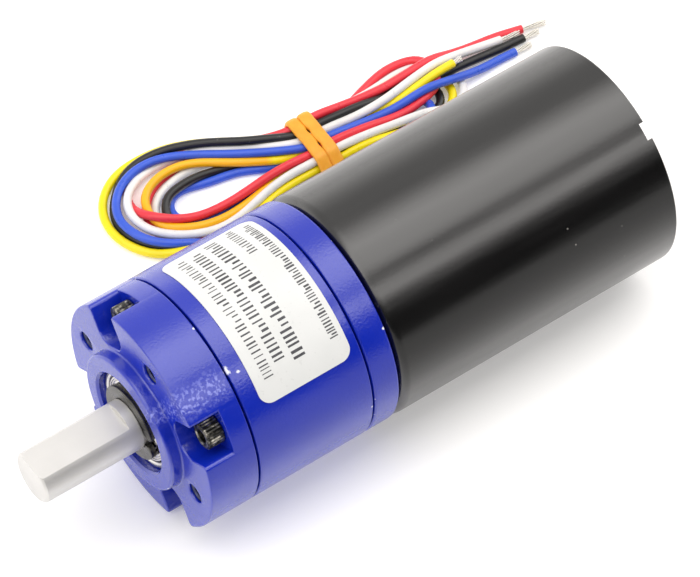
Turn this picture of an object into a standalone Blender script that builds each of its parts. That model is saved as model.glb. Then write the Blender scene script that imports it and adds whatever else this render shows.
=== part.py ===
"""A 36 mm planetary geared dc motor, lying on its side with its output shaft along +X.

Lengths are in metres. Turned and extruded pieces are drawn in the axis frame: its origin is where the
shaft's axis meets the mounting face, its Z runs out along the shaft, its X is the row's +Y and its Y is
the row's +Z. Angles about the axis are measured from the row's +Y towards +Z.
"""

import math

import bmesh
import bpy
from mathutils import Vector

MM = 0.001

# Overall form
BODY_RADIUS = 18.0 * MM
TIP = 18.5 * MM
REAR = -83.5 * MM
MOUNT_FACE_X = -(TIP + REAR) / 2
AXIS_HEIGHT = BODY_RADIUS

# How finely round pieces are divided
FINE = 48
MEDIUM = 24
COARSE = 16

# Front housing
HOUSING_LENGTH = 8.2 * MM
BOSS_RADIUS = 11.0 * MM
BOSS_HEIGHT = 2.0 * MM
SPIGOT_RADIUS = 12.2 * MM
SPIGOT_END = -10.0 * MM
HOLE_CIRCLE = 14.0 * MM
HOLE_RADIUS = 1.45 * MM
HOLE_DEPTH = 5.0 * MM
FIRST_HOLE_ANGLE = 76.5
NOTCH_HALF_WIDTH = 3.2 * MM
NOTCH_INNER_RADIUS = 11.5 * MM
NOTCH_CORNER = 2.4 * MM
NOTCH_DEPTH = 4.9 * MM
FIRST_NOTCH_ANGLE = FIRST_HOLE_ANGLE - 45.0

# Output shaft
SHAFT_RADIUS = 4.0 * MM
FLAT_HEIGHT = 3.0 * MM
FLAT_LENGTH = 15.0 * MM
FLAT_ANGLE = 88.0
GROOVE = (1.95 * MM, 0.85 * MM)
CIRCLIP = (1.85 * MM, 0.95 * MM)
CIRCLIP_RADIUS = 6.0 * MM
CIRCLIP_GAP_ANGLE = 2.0
CIRCLIP_GAP = 46.0

# Output bearings, 8 x 16 mm
BEARING_RADII = (4.05 * MM, 5.2 * MM, 6.9 * MM, 8.0 * MM)
FRONT_BEARING = (0.8 * MM, -3.2 * MM)
INNER_BEARING = (-4.4 * MM, -8.4 * MM)
SEAT_CLEARANCE = 0.05 * MM

# Gear trains: two alike stages share one ring gear
MODULE = 0.45 * MM
SUN_TEETH = 21
PLANET_TEETH = 18
RING_TEETH = 57
PRESSURE_ANGLE = math.radians(20)
BACKLASH = 0.06 * MM
ADDENDUM = 1.0 * MODULE
DEDENDUM = 1.25 * MODULE
PLANET_ORBIT = MODULE * (SUN_TEETH + PLANET_TEETH) / 2
PLANET_ANGLES = (90.0, 210.0, 330.0)
PIN_RADIUS = 1.2 * MM
PIN_CLEARANCE = 0.1 * MM
CARRIER_RADIUS = 11.6 * MM
OUTPUT_CARRIER = (-10.8 * MM, -14.6 * MM)
OUTPUT_PLANETS = (-15.0 * MM, -19.6 * MM)
FIRST_CARRIER = (-20.4 * MM, -22.4 * MM)
FIRST_PLANETS = (-22.8 * MM, -27.4 * MM)

# Ring gear housing, motor adapter plate and the four long screws
RING_HOUSING = (-8.5 * MM, -28.15 * MM)
ADAPTER = (-28.45 * MM, -32.8 * MM)
SCREW_CIRCLE = 14.9 * MM
SCREW_RADIUS = 1.2 * MM
SCREW_HOLE_RADIUS = 1.35 * MM
SCREW_HEAD_RADIUS = 2.15 * MM
SCREW_HEAD = (-2.1 * MM, -4.75 * MM)
SCREW_END = -31.4 * MM
LABEL_X = (-11.9 * MM, -26.7 * MM)
LABEL_ANGLES = (36.0, 127.5)
LABEL_CORNER = 1.8 * MM
LABEL_RADIUS = 18.06 * MM
LABEL_THICKNESS = 0.1 * MM

# Motor
CAN_FRONT = -33.1 * MM
CAN_WALL = 0.9 * MM
CAN_SHOULDER = 2.0 * MM
PILOT_RADIUS = 5.9 * MM
RIM_NOTCH_ANGLE = 57.0
RIM_NOTCH = (2.7 * MM, 0.9 * MM)
MOTOR_SHAFT_RADIUS = 1.6 * MM
MOTOR_SHAFT = (-22.9 * MM, -81.0 * MM)
MOTOR_BEARING_RADII = (1.65 * MM, 2.6 * MM, 4.1 * MM, 4.75 * MM)
MOTOR_FRONT_BEARING = (-32.4 * MM, -36.2 * MM)
MOTOR_REAR_BEARING = (-77.3 * MM, -81.0 * MM)
ROTOR_CORE_RADIUS = 7.6 * MM
MAGNET_RADIUS = 9.6 * MM
ROTOR = (-42.5 * MM, -67.5 * MM)
STATOR = (-41.0 * MM, -69.0 * MM)
STATOR_RADII = (10.1 * MM, 16.9 * MM)
SLOTS = 6
BOARD = (-75.0 * MM, -76.6 * MM)
END_CAP = (-80.4 * MM, -83.2 * MM)
MOTOR_SCREW_CIRCLE = 10.0 * MM

# Leads, hank and band, placed in the row's own axes
LEAD_DIAMETER = 1.5 * MM
LEAD_PITCH = 1.75 * MM
LEAD_EXIT_Y = -6.0 * MM
LEAD_EXIT_Z = 8.0 * MM
HANK_HEIGHT = (0.1 * MM, 5.2 * MM)
BAND_X = (-27.2 * MM, -22.8 * MM)
BAND_THICKNESS = 0.7 * MM
BAND_Y = (-43.9 * MM, -32.5 * MM)
BAND_Z = (0.05 * MM, 6.4 * MM)
TOUCH_GAP = 0.3 * MM


# ---------------------------------------------------------------- scene, materials and placing

def clear_scene():
    for obj in list(bpy.data.objects):
        bpy.data.objects.remove(obj, do_unlink=True)


def collection(name):
    made = bpy.data.collections.new(name)
    bpy.context.scene.collection.children.link(made)
    return made


def material(name, colour, roughness, metallic=0.0):
    made = bpy.data.materials.new(name)
    made.use_nodes = True
    shader = made.node_tree.nodes["Principled BSDF"]
    shader.inputs["Base Color"].default_value = (*colour, 1.0)
    shader.inputs["Roughness"].default_value = roughness
    shader.inputs["Metallic"].default_value = metallic
    made.diffuse_color = (*colour, 1.0)
    return made


def empty(name, parent, place):
    made = bpy.data.objects.new(name, None)
    made.empty_display_size = 5 * MM
    PARTS.objects.link(made)
    made.parent = parent
    made.location = place
    return made


def put(name, data, finish, parent, place=(0, 0, 0)):
    """One node: an object that holds the data, with its own finish, in its parent's frame."""
    made = bpy.data.objects.new(name, data)
    PARTS.objects.link(made)
    made.parent = parent
    made.location = place
    if finish.name not in made.data.materials:
        made.data.materials.append(finish)
    return made


def polar(radius, degrees):
    return radius * math.cos(math.radians(degrees)), radius * math.sin(math.radians(degrees))


# ---------------------------------------------------------------- shapes

def turned(name, profile, finish, parent, steps=MEDIUM, closed=True, place=(0, 0, 0)):
    """A profile of (radius, height) turned about Z. It runs down its outer side."""
    mesh = bpy.data.meshes.new(name)
    points = [(radius, 0, height) for radius, height in profile]
    edges = [(i, i + 1) for i in range(len(points) - 1)]
    if closed:
        edges.append((len(points) - 1, 0))
    mesh.from_pydata(points, edges, [])
    obj = put(name, mesh, finish, parent, place)
    screw = obj.modifiers.new("turn", "SCREW")
    screw.steps = steps
    screw.render_steps = steps
    screw.use_merge_vertices = True
    screw.merge_threshold = 0.00001
    return obj


def ring(name, radii, span, finish, parent, steps=MEDIUM):
    inner, outer = radii
    top, bottom = span
    profile = [(inner, top), (outer, top), (outer, bottom), (inner, bottom)]
    return turned(name, profile, finish, parent, steps)


def rod(name, radius, span, finish, parent, steps=COARSE, place=(0, 0, 0)):
    top, bottom = span
    profile = [(0, top), (radius, top), (radius, bottom), (0, bottom)]
    return turned(name, profile, finish, parent, steps, closed=False, place=place)


def circle(radius, count, centre=(0.0, 0.0)):
    step = 360.0 / count
    points = [polar(radius, i * step) for i in range(count)]
    return [(centre[0] + x, centre[1] + y) for x, y in points]


def arc(radius, start, end, count, centre=(0.0, 0.0)):
    points = [polar(radius, start + (end - start) * i / count) for i in range(count + 1)]
    return [(centre[0] + x, centre[1] + y) for x, y in points]


def rounded_box(half_width, half_height, corner, count=4):
    """The outline of a rectangle with round corners."""
    across, up = half_width - corner, half_height - corner
    outline = []
    for turn, (x, y) in enumerate(((across, up), (-across, up), (-across, -up), (across, -up))):
        outline += arc(corner, turn * 90, turn * 90 + 90, count, (x, y))
    return outline


def flat_curve(name, outlines, thickness):
    """A filled flat curve, centred on its thickness. Outlines inside the first are holes."""
    data = bpy.data.curves.new(name, "CURVE")
    data.dimensions = "2D"
    data.fill_mode = "BOTH"
    data.extrude = thickness / 2
    for outline in outlines:
        spline = data.splines.new("POLY")
        spline.points.add(len(outline) - 1)
        for point, (x, y) in zip(spline.points, outline):
            point.co = (x, y, 0, 1)
        spline.use_cyclic_u = True
    return data


def extruded(name, outlines, span, finish, parent, place=(0, 0)):
    """A plate cut to outlines, from one height to another."""
    top, bottom = span
    data = flat_curve(name, outlines, top - bottom)
    return put(name, data, finish, parent, (*place, (top + bottom) / 2))


def as_mesh(obj):
    """The same object as a welded mesh, so that Booleans can cut it or use it."""
    bpy.context.view_layer.update()
    shown = obj.evaluated_get(bpy.context.evaluated_depsgraph_get())
    mesh = bpy.data.meshes.new_from_object(shown)
    work = bmesh.new()
    work.from_mesh(mesh)
    bmesh.ops.remove_doubles(work, verts=work.verts, dist=0.000001)
    work.to_mesh(mesh)
    work.free()
    name, parent, place, turn = obj.name, obj.parent, obj.location.copy(), obj.rotation_euler.copy()
    finish = obj.data.materials[0]
    bpy.data.objects.remove(obj)
    made = bpy.data.objects.new(name, mesh)
    PARTS.objects.link(made)
    made.parent = parent
    made.location = place
    made.rotation_euler = turn
    mesh.materials.clear()
    mesh.materials.append(finish)
    return made


def make_cutter(obj):
    PARTS.objects.unlink(obj)
    CUTTERS.objects.link(obj)
    obj.hide_render = True
    obj.display_type = "WIRE"
    return obj


def cut(target, cutter, operation="DIFFERENCE"):
    boolean = target.modifiers.new(operation.lower(), "BOOLEAN")
    boolean.operation = operation
    boolean.object = cutter


def drill(target, radius, span, place, steps=COARSE):
    """Cuts a round hole parallel to the axis at a place given as (x, y)."""
    outline = circle(radius, steps)
    plug = extruded(target.name + "_drill", [outline], span, FINISH["steel"], target.parent, place)
    cut(target, make_cutter(as_mesh(plug)))


def smooth(obj):
    """Round shading that keeps edges over 30 degrees sharp."""
    if obj.type == "MESH" and obj.data.polygons:
        obj.data.shade_smooth()
        obj.data.set_sharp_from_angle(angle=math.radians(30))


# ---------------------------------------------------------------- gears

def involute(angle):
    return math.tan(angle) - angle


def half_tooth_angle(teeth, radius, thinning):
    """Half the angle that a tooth covers at a radius. Inside the base circle its flanks run straight."""
    pitch_radius = MODULE * teeth / 2
    base_radius = pitch_radius * math.cos(PRESSURE_ANGLE)
    slope = math.acos(min(1.0, base_radius / radius))
    widest = math.pi / (2 * teeth) + involute(PRESSURE_ANGLE)
    return widest - involute(slope) - thinning / pitch_radius


def gear_outline(teeth, root_radius, tip_radius, thinning, first_tooth):
    outline = []
    for tooth in range(teeth):
        middle = first_tooth + tooth * 360.0 / teeth
        root = math.degrees(half_tooth_angle(teeth, root_radius, thinning))
        tip = math.degrees(half_tooth_angle(teeth, tip_radius, thinning))
        outline.append(polar(root_radius, middle - root))
        outline.append(polar(tip_radius, middle - tip))
        outline.append(polar(tip_radius, middle + tip))
        outline.append(polar(root_radius, middle + root))
    return outline


def external_gear(teeth, first_tooth):
    pitch_radius = MODULE * teeth / 2
    return gear_outline(teeth, pitch_radius - DEDENDUM, pitch_radius + ADDENDUM, BACKLASH, first_tooth)


def ring_gear_hole():
    """The toothed hole: its outline is a gear whose teeth are the ring's spaces."""
    pitch_radius = MODULE * RING_TEETH / 2
    first_space = PLANET_ANGLES[0] + 180.0 / RING_TEETH
    roots, tips = pitch_radius - ADDENDUM, pitch_radius + DEDENDUM
    return gear_outline(RING_TEETH, roots, tips, -BACKLASH, first_space)


# ---------------------------------------------------------------- gearbox shell

def notch_outline(angle):
    """A screw notch in plan: straight sides from outside the rim to a round inner end."""
    outer = BODY_RADIUS + 1.0 * MM
    middle = NOTCH_INNER_RADIUS + NOTCH_CORNER
    side = NOTCH_HALF_WIDTH - NOTCH_CORNER
    flat = [(outer, -NOTCH_HALF_WIDTH), (outer, NOTCH_HALF_WIDTH)]
    flat += arc(NOTCH_CORNER, 90, 180, 5, (middle, side))
    flat += arc(NOTCH_CORNER, 180, 270, 5, (middle, -side))
    cosine, sine = polar(1.0, angle)
    return [(x * cosine - y * sine, x * sine + y * cosine) for x, y in flat]


def front_housing(axis):
    bore = BEARING_RADII[3] + SEAT_CLEARANCE
    web = 6.6 * MM
    edge = 0.4 * MM
    profile = [
        (bore + 0.3 * MM, BOSS_HEIGHT),
        (BOSS_RADIUS - edge, BOSS_HEIGHT),
        (BOSS_RADIUS, BOSS_HEIGHT - edge),
        (BOSS_RADIUS, 0),
        (BODY_RADIUS - edge, 0),
        (BODY_RADIUS, -edge),
        (BODY_RADIUS, -HOUSING_LENGTH),
        (SPIGOT_RADIUS, -HOUSING_LENGTH),
        (SPIGOT_RADIUS, SPIGOT_END),
        (bore, SPIGOT_END),
        (bore, INNER_BEARING[0]),
        (web, INNER_BEARING[0]),
        (web, FRONT_BEARING[1] - 0.2 * MM),
        (bore, FRONT_BEARING[1] - 0.2 * MM),
        (bore, BOSS_HEIGHT - 0.3 * MM),
    ]
    housing = turned("front_housing", profile, FINISH["blue_paint"], axis, FINE)
    above = 1.0 * MM
    for quarter in range(4):
        hole = polar(HOLE_CIRCLE, FIRST_HOLE_ANGLE + 90 * quarter)
        drill(housing, HOLE_RADIUS, (above, -HOLE_DEPTH), hole)
        notch_angle = FIRST_NOTCH_ANGLE + 90 * quarter
        notch = extruded(
            "housing_notch", [notch_outline(notch_angle)], (above, -NOTCH_DEPTH), FINISH["steel"], axis
        )
        cut(housing, make_cutter(as_mesh(notch)))
        screw = polar(SCREW_CIRCLE, notch_angle)
        drill(housing, SCREW_HOLE_RADIUS, (-NOTCH_DEPTH + above, -HOUSING_LENGTH - above), screw)
    return housing


def ring_gear_housing(axis):
    outlines = [circle(BODY_RADIUS, FINE), ring_gear_hole()]
    for quarter in range(4):
        centre = polar(SCREW_CIRCLE, FIRST_NOTCH_ANGLE + 90 * quarter)
        outlines.append(circle(SCREW_HOLE_RADIUS, 12, centre))
    extruded("ring_gear_housing", outlines, RING_HOUSING, FINISH["blue_paint"], axis)


def motor_adapter_plate(axis):
    top, bottom = ADAPTER
    edge = 0.3 * MM
    bore = PILOT_RADIUS + 0.3 * MM
    profile = [
        (bore, top),
        (BODY_RADIUS - edge, top),
        (BODY_RADIUS, top - edge),
        (BODY_RADIUS, bottom + edge),
        (BODY_RADIUS - edge, bottom),
        (bore, bottom),
    ]
    plate = turned("motor_adapter_plate", profile, FINISH["blue_paint"], axis, FINE)
    above = 1.0 * MM
    for quarter in range(4):
        screw = polar(SCREW_CIRCLE, FIRST_NOTCH_ANGLE + 90 * quarter)
        drill(plate, SCREW_HOLE_RADIUS, (top + above, SCREW_END - 0.4 * MM), screw)
    for angle in (0, 180):
        place = polar(MOTOR_SCREW_CIRCLE, angle)
        drill(plate, 3.0 * MM, (top + above, top - 1.9 * MM), place)
        drill(plate, 1.65 * MM, (top, bottom - above), place)


def screw_profile(head_radius, shank_radius, head, end):
    top, seat = head
    edge = 0.3 * MM
    return [
        (0, top),
        (head_radius - edge, top),
        (head_radius, top - edge),
        (head_radius, seat),
        (shank_radius, seat),
        (shank_radius, end),
        (0, end),
    ]


def socket_screw(name, axis, centre, profile, socket_radius):
    """A cap screw with a hexagon socket."""
    top = profile[0][1]
    screw = turned(name, profile, FINISH["black_steel"], axis, COARSE, closed=False, place=(*centre, 0))
    drill(screw, socket_radius, (top + 1.0 * MM, top - 1.3 * MM), centre, 6)


def housing_screws(axis):
    profile = screw_profile(SCREW_HEAD_RADIUS, SCREW_RADIUS, SCREW_HEAD, SCREW_END)
    for quarter in range(4):
        centre = polar(SCREW_CIRCLE, FIRST_NOTCH_ANGLE + 90 * quarter)
        socket_screw(f"housing_screw_{quarter + 1}", axis, centre, profile, 1.1 * MM)


def product_label(axis):
    """A blank sheet wrapped on the ring gear housing, with round corners."""
    front, back = LABEL_X
    columns = 24
    start, end = (math.radians(angle) for angle in LABEL_ANGLES)
    length = (end - start) * LABEL_RADIUS
    work = bmesh.new()
    rows = []
    for column in range(columns + 1):
        share = 0.5 - 0.5 * math.cos(math.pi * column / columns)
        along = share * length
        from_end = min(along, length - along, LABEL_CORNER)
        missing = LABEL_CORNER - math.sqrt(LABEL_CORNER**2 - (LABEL_CORNER - from_end) ** 2)
        angle = start + along / LABEL_RADIUS
        x, y = LABEL_RADIUS * math.cos(angle), LABEL_RADIUS * math.sin(angle)
        rows.append([work.verts.new((x, y, z)) for z in (front - missing, back + missing)])
    for (a, b), (c, d) in zip(rows, rows[1:]):
        work.faces.new((a, b, d, c))
    mesh = bpy.data.meshes.new("product_label")
    work.to_mesh(mesh)
    work.free()
    label = put("product_label", mesh, FINISH["label_paper"], axis)
    skin = label.modifiers.new("thickness", "SOLIDIFY")
    skin.thickness = LABEL_THICKNESS
    skin.offset = 1.0


# ---------------------------------------------------------------- output shaft and its bearings

def bearing(name, radii, span, outer_parent, inner_parent, steps=MEDIUM):
    bore, inner_land, outer_land, outside = radii
    ring(name + "_outer_ring", (outer_land, outside), span, FINISH["bearing_steel"], outer_parent, steps)
    ring(name + "_inner_ring", (bore, inner_land), span, FINISH["bearing_steel"], inner_parent, steps)


def output_shaft(output):
    tip_edge = 0.3 * MM
    groove_radius = 3.75 * MM
    shoulder_radius = 5.1 * MM
    hub_radius = 4.5 * MM
    shoulder = INNER_BEARING[1] - 0.1 * MM
    seat = OUTPUT_CARRIER[0] + 0.1 * MM
    profile = [
        (0, TIP),
        (SHAFT_RADIUS - tip_edge, TIP),
        (SHAFT_RADIUS, TIP - tip_edge),
        (SHAFT_RADIUS, GROOVE[0]),
        (groove_radius, GROOVE[0]),
        (groove_radius, GROOVE[1]),
        (SHAFT_RADIUS, GROOVE[1]),
        (SHAFT_RADIUS, shoulder),
        (shoulder_radius, shoulder),
        (shoulder_radius, seat),
        (hub_radius, seat),
        (hub_radius, OUTPUT_CARRIER[1]),
        (0, OUTPUT_CARRIER[1]),
    ]
    shaft = turned("output_shaft", profile, FINISH["shaft_steel"], output, MEDIUM, closed=False)
    beyond = 5.0 * MM
    side = SHAFT_RADIUS + beyond
    slab = [(FLAT_HEIGHT, -side), (side, -side), (side, side), (FLAT_HEIGHT, side)]
    cosine, sine = polar(1.0, FLAT_ANGLE)
    outline = [(x * cosine - y * sine, x * sine + y * cosine) for x, y in slab]
    span = (TIP + beyond, TIP - FLAT_LENGTH)
    cut(shaft, make_cutter(as_mesh(extruded("shaft_flat", [outline], span, FINISH["steel"], output))))


def output_circlip(output):
    gap_end = CIRCLIP_GAP_ANGLE + CIRCLIP_GAP / 2
    around = 360.0 - CIRCLIP_GAP
    outline = arc(CIRCLIP_RADIUS, gap_end, gap_end + around, 24)
    outline += arc(3.85 * MM, gap_end + around, gap_end, 24)
    extruded("output_circlip", [outline], CIRCLIP, FINISH["black_steel"], output)


def output_bearings(axis, output):
    bearing("front_bearing", BEARING_RADII, FRONT_BEARING, axis, output)
    bearing("inner_bearing", BEARING_RADII, INNER_BEARING, axis, output)
    shield = (BEARING_RADII[1] + 0.15 * MM, BEARING_RADII[2] - 0.1 * MM)
    shield_span = (FRONT_BEARING[0] - 0.15 * MM, FRONT_BEARING[0] - 0.45 * MM)
    ring("front_bearing_shield", shield, shield_span, FINISH["bearing_steel"], axis)
    washer_span = (SPIGOT_END - 0.1 * MM, OUTPUT_CARRIER[0] + 0.1 * MM)
    ring("output_thrust_washer", (8.6 * MM, 11.4 * MM), washer_span, FINISH["fibre"], axis)


# ---------------------------------------------------------------- planet stages

def carrier_plate(name, span, hub_radius, axis):
    outlines = [circle(CARRIER_RADIUS, MEDIUM), circle(hub_radius, MEDIUM)]
    for angle in PLANET_ANGLES:
        outlines.append(circle(PIN_RADIUS + 0.05 * MM, 12, polar(PLANET_ORBIT, angle)))
    extruded(name, outlines, span, FINISH["gear_steel"], axis)


def planet_stage(stage, planets, carrier, carrier_axis):
    """Three planets on their pins. Each planet has a parent empty on its own axis."""
    outlines = [external_gear(PLANET_TEETH, 0.0), circle(PIN_RADIUS + PIN_CLEARANCE, 12)]
    gear = flat_curve(stage + "_planet", outlines, planets[0] - planets[1])
    pin_top = carrier[0] - 0.4 * MM
    pin_bottom = planets[1] - 0.3 * MM
    for number, angle in enumerate(PLANET_ANGLES, 1):
        place = polar(PLANET_ORBIT, angle)
        planet_axis = empty(f"{stage}_planet_axis_{number}", carrier_axis, (*place, 0))
        middle = (0, 0, (planets[0] + planets[1]) / 2)
        put(f"{stage}_planet_{number}", gear, FINISH["gear_steel"], planet_axis, middle)
        rod(
            f"{stage}_planet_pin_{number}", PIN_RADIUS, (pin_top, pin_bottom), FINISH["bearing_steel"],
            carrier_axis, 12, place=(*place, 0),
        )


def first_carrier_and_sun(first):
    stub_radius = 2.6 * MM
    carrier_plate("first_stage_carrier", FIRST_CARRIER, stub_radius + 0.1 * MM, first)
    sun_top = OUTPUT_CARRIER[1] - 0.3 * MM
    sun_bottom = FIRST_CARRIER[0] + 0.3 * MM
    outline = external_gear(SUN_TEETH, PLANET_ANGLES[0])
    sun = as_mesh(
        extruded("second_stage_sun", [outline], (sun_top, sun_bottom), FINISH["gear_steel"], first)
    )
    stub_span = (sun_bottom + 1.0 * MM, FIRST_CARRIER[1] + 0.1 * MM)
    stub = rod("sun_stub", stub_radius, stub_span, FINISH["gear_steel"], first)
    cut(sun, make_cutter(stub), "UNION")


def motor_pinion(rotor):
    outlines = [
        external_gear(SUN_TEETH, PLANET_ANGLES[0]),
        circle(MOTOR_SHAFT_RADIUS + SEAT_CLEARANCE, COARSE),
    ]
    span = (MOTOR_SHAFT[0], FIRST_PLANETS[1] - 0.6 * MM)
    extruded("motor_pinion", outlines, span, FINISH["gear_steel"], rotor)


# ---------------------------------------------------------------- motor

def motor_can(axis):
    pocket = MOTOR_BEARING_RADII[3] + SEAT_CLEARANCE
    pilot_front = CAN_FRONT + 1.9 * MM
    pocket_top = MOTOR_FRONT_BEARING[0] + 0.1 * MM
    face_back = CAN_FRONT - 1.2 * MM
    hub_radius = 6.2 * MM
    hub_back = MOTOR_FRONT_BEARING[1] - 0.2 * MM
    inside = BODY_RADIUS - CAN_WALL
    lip = 2.6 * MM
    rim = 0.2 * MM
    shoulder_centre = (BODY_RADIUS - CAN_SHOULDER, CAN_FRONT - CAN_SHOULDER)
    profile = [(lip, pilot_front), (PILOT_RADIUS, pilot_front), (PILOT_RADIUS, CAN_FRONT)]
    profile += arc(CAN_SHOULDER, 90, 0, 5, shoulder_centre)
    profile += [
        (BODY_RADIUS, REAR + rim),
        (BODY_RADIUS - rim, REAR),
        (inside, REAR),
        (inside, face_back),
        (hub_radius, face_back),
        (hub_radius, hub_back),
        (pocket, hub_back),
        (pocket, pocket_top),
        (lip, pocket_top),
    ]
    can = turned("motor_can", profile, FINISH["black_paint"], axis, FINE)
    width, depth = RIM_NOTCH
    for angle in (RIM_NOTCH_ANGLE, RIM_NOTCH_ANGLE + 180):
        cosine, sine = polar(1.0, angle)
        near, far, half = 15.0 * MM, 20.0 * MM, width / 2
        corners = ((near, -half), (far, -half), (far, half), (near, half))
        outline = [(x * cosine - y * sine, x * sine + y * cosine) for x, y in corners]
        span = (REAR + depth, REAR - 1.0 * MM)
        cut(can, make_cutter(as_mesh(extruded("rim_notch", [outline], span, FINISH["steel"], axis))))
    for angle in (0, 180):
        drill(can, 1.6 * MM, (CAN_FRONT + 1.0 * MM, face_back - 1.0 * MM), polar(MOTOR_SCREW_CIRCLE, angle))


def motor_screws(axis):
    seat = ADAPTER[0] - 1.8 * MM
    profile = screw_profile(2.7 * MM, 1.45 * MM, (ADAPTER[0] - 0.1 * MM, seat), CAN_FRONT - 2.6 * MM)
    for number, angle in enumerate((0, 180), 1):
        centre = polar(MOTOR_SCREW_CIRCLE, angle)
        socket_screw(f"motor_screw_{number}", axis, centre, profile, 1.2 * MM)


def motor_bearings(axis, rotor):
    bearing("motor_front_bearing", MOTOR_BEARING_RADII, MOTOR_FRONT_BEARING, axis, rotor, COARSE)
    bearing("motor_rear_bearing", MOTOR_BEARING_RADII, MOTOR_REAR_BEARING, axis, rotor, COARSE)


def rotor_parts(rotor):
    rod("motor_shaft", MOTOR_SHAFT_RADIUS, MOTOR_SHAFT, FINISH["shaft_steel"], rotor)
    core = (MOTOR_SHAFT_RADIUS + SEAT_CLEARANCE, ROTOR_CORE_RADIUS)
    magnet = (ROTOR_CORE_RADIUS + SEAT_CLEARANCE, MAGNET_RADIUS)
    ring("rotor_core", core, ROTOR, FINISH["lamination"], rotor)
    ring("rotor_magnet", magnet, ROTOR, FINISH["magnet"], rotor)


def stator_outline():
    """The laminations' inner outline: teeth that end in pole shoes, with wire slots between them."""
    bore, _ = STATOR_RADII
    shoe, slot_bottom = bore + 1.0 * MM, 15.2 * MM
    slot_angle, tooth_half, shoe_half = 360.0 / SLOTS, 10.0, 27.0
    outline = []
    for tooth in range(SLOTS):
        middle = tooth * slot_angle
        outline += arc(bore, middle - shoe_half, middle + shoe_half, 6)
        outline.append(polar(shoe, middle + shoe_half))
        outline.append(polar(shoe, middle + tooth_half))
        outline += arc(slot_bottom, middle + tooth_half, middle + slot_angle - tooth_half, 3)
        outline.append(polar(shoe, middle + slot_angle - tooth_half))
        outline.append(polar(shoe, middle + slot_angle - shoe_half))
    return outline


def stator(axis):
    outlines = [circle(STATOR_RADII[1], 48), stator_outline()]
    extruded("stator_core", outlines, STATOR, FINISH["lamination"], axis)
    turns = 3.7 * MM
    gap = TOUCH_GAP
    radii = (11.6 * MM, 15.6 * MM)
    winding = ring(
        "stator_winding", radii, (STATOR[0] + turns, STATOR[0] + gap), FINISH["copper"], axis
    )
    back = ring("winding_back", radii, (STATOR[1] - gap, STATOR[1] - turns), FINISH["copper"], axis)
    cut(winding, make_cutter(back), "UNION")
    bar = [(11.9 * MM, -1.8 * MM), (14.7 * MM, -1.8 * MM), (14.7 * MM, 1.8 * MM), (11.9 * MM, 1.8 * MM)]
    for slot in range(SLOTS):
        cosine, sine = polar(1.0, (slot + 0.5) * 360.0 / SLOTS)
        outline = [(x * cosine - y * sine, x * sine + y * cosine) for x, y in bar]
        span = (STATOR[0] + turns / 2, STATOR[1] - turns / 2)
        piece = extruded("winding_bar", [outline], span, FINISH["copper"], axis)
        cut(winding, make_cutter(as_mesh(piece)), "UNION")


def driver_board(axis):
    outlines = [circle(16.2 * MM, MEDIUM), circle(3.0 * MM, COARSE)]
    extruded("driver_board", outlines, BOARD, FINISH["board"], axis)


def lead_slot():
    """Where the leads pass through the end cap, in the axis frame."""
    return LEAD_EXIT_Y, LEAD_EXIT_Z - AXIS_HEIGHT


def slot_outline(half_width, half_height):
    x, y = lead_slot()
    outline = rounded_box(half_width, half_height, half_height - 0.05 * MM, 3)
    return [(x + a, y + b) for a, b in outline]


def rear_end_cap(axis):
    outside = BODY_RADIUS - CAN_WALL - 0.15 * MM
    pocket = MOTOR_BEARING_RADII[3] + SEAT_CLEARANCE
    hub_radius = 6.4 * MM
    hub_front = MOTOR_REAR_BEARING[0] + 0.1 * MM
    top, bottom = END_CAP
    pocket_bottom = MOTOR_REAR_BEARING[1] - 0.2 * MM
    edge = 0.4 * MM
    profile = [
        (0, pocket_bottom),
        (pocket, pocket_bottom),
        (pocket, hub_front),
        (hub_radius, hub_front),
        (hub_radius, top),
        (outside, top),
        (outside, bottom + edge),
        (outside - edge, bottom),
        (0, bottom),
    ]
    cap = turned("rear_end_cap", profile, FINISH["black_plastic"], axis, FINE, closed=False)
    span = (top + 1.0 * MM, bottom - 1.0 * MM)
    window = extruded("lead_window", [slot_outline(5.5 * MM, 2.2 * MM)], span, FINISH["steel"], axis)
    cut(cap, make_cutter(as_mesh(window)))


def wire_grommet(axis):
    outlines = [slot_outline(5.35 * MM, 2.05 * MM), slot_outline(4.55 * MM, 1.05 * MM)]
    extruded("wire_grommet", outlines, (END_CAP[0] + 0.4 * MM, REAR + 0.05 * MM), FINISH["rubber"], axis)


# ---------------------------------------------------------------- leads, hank and band

LEAD_COLOURS = {
    "yellow": (0.9, 0.72, 0.02),
    "black": (0.02, 0.02, 0.02),
    "blue": (0.03, 0.12, 0.7),
    "white": (0.85, 0.85, 0.85),
    "red": (0.8, 0.03, 0.04),
}

# Millimetres in the row's axes. Each lead leaves the end cap, turns back beside the can on the surface
# that the motor lies on, and runs forward to the hank. The leads keep their order, side by side.
RETURN_X = (-57.0, -58.7, -60.4, -62.1, -63.8)
RUN_Y = (-21.0, -22.7, -24.4, -26.1, -27.8)
TURN_X = (-43.5, -44.2, -44.9, -45.6, -46.3)
HANK_SIDE_Y = -31.5

# Millimetres in the row's axes, from the hank's end to the lead's bare end.
LEAD_ENDS = {
    "yellow": ((-51.9, -38.3, 4.1), (-53.2, -38.3, 4.0), (-55.0, -38.2, 3.8)),
    "black": ((-51.9, -37.7, 1.9), (-58.0, -37.4, 1.7), (-64.6, -36.8, 1.4)),
    "blue": ((-51.9, -35.8, 1.9), (-57.0, -35.5, 1.5), (-62.3, -35.0, 1.2)),
    "white": ((-51.9, -39.5, 1.9), (-56.5, -39.4, 1.5), (-61.0, -38.9, 1.2)),
    "red": ((-51.9, -41.4, 1.9), (-58.5, -41.2, 1.6), (-65.4, -39.6, 1.2)),
}

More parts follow.
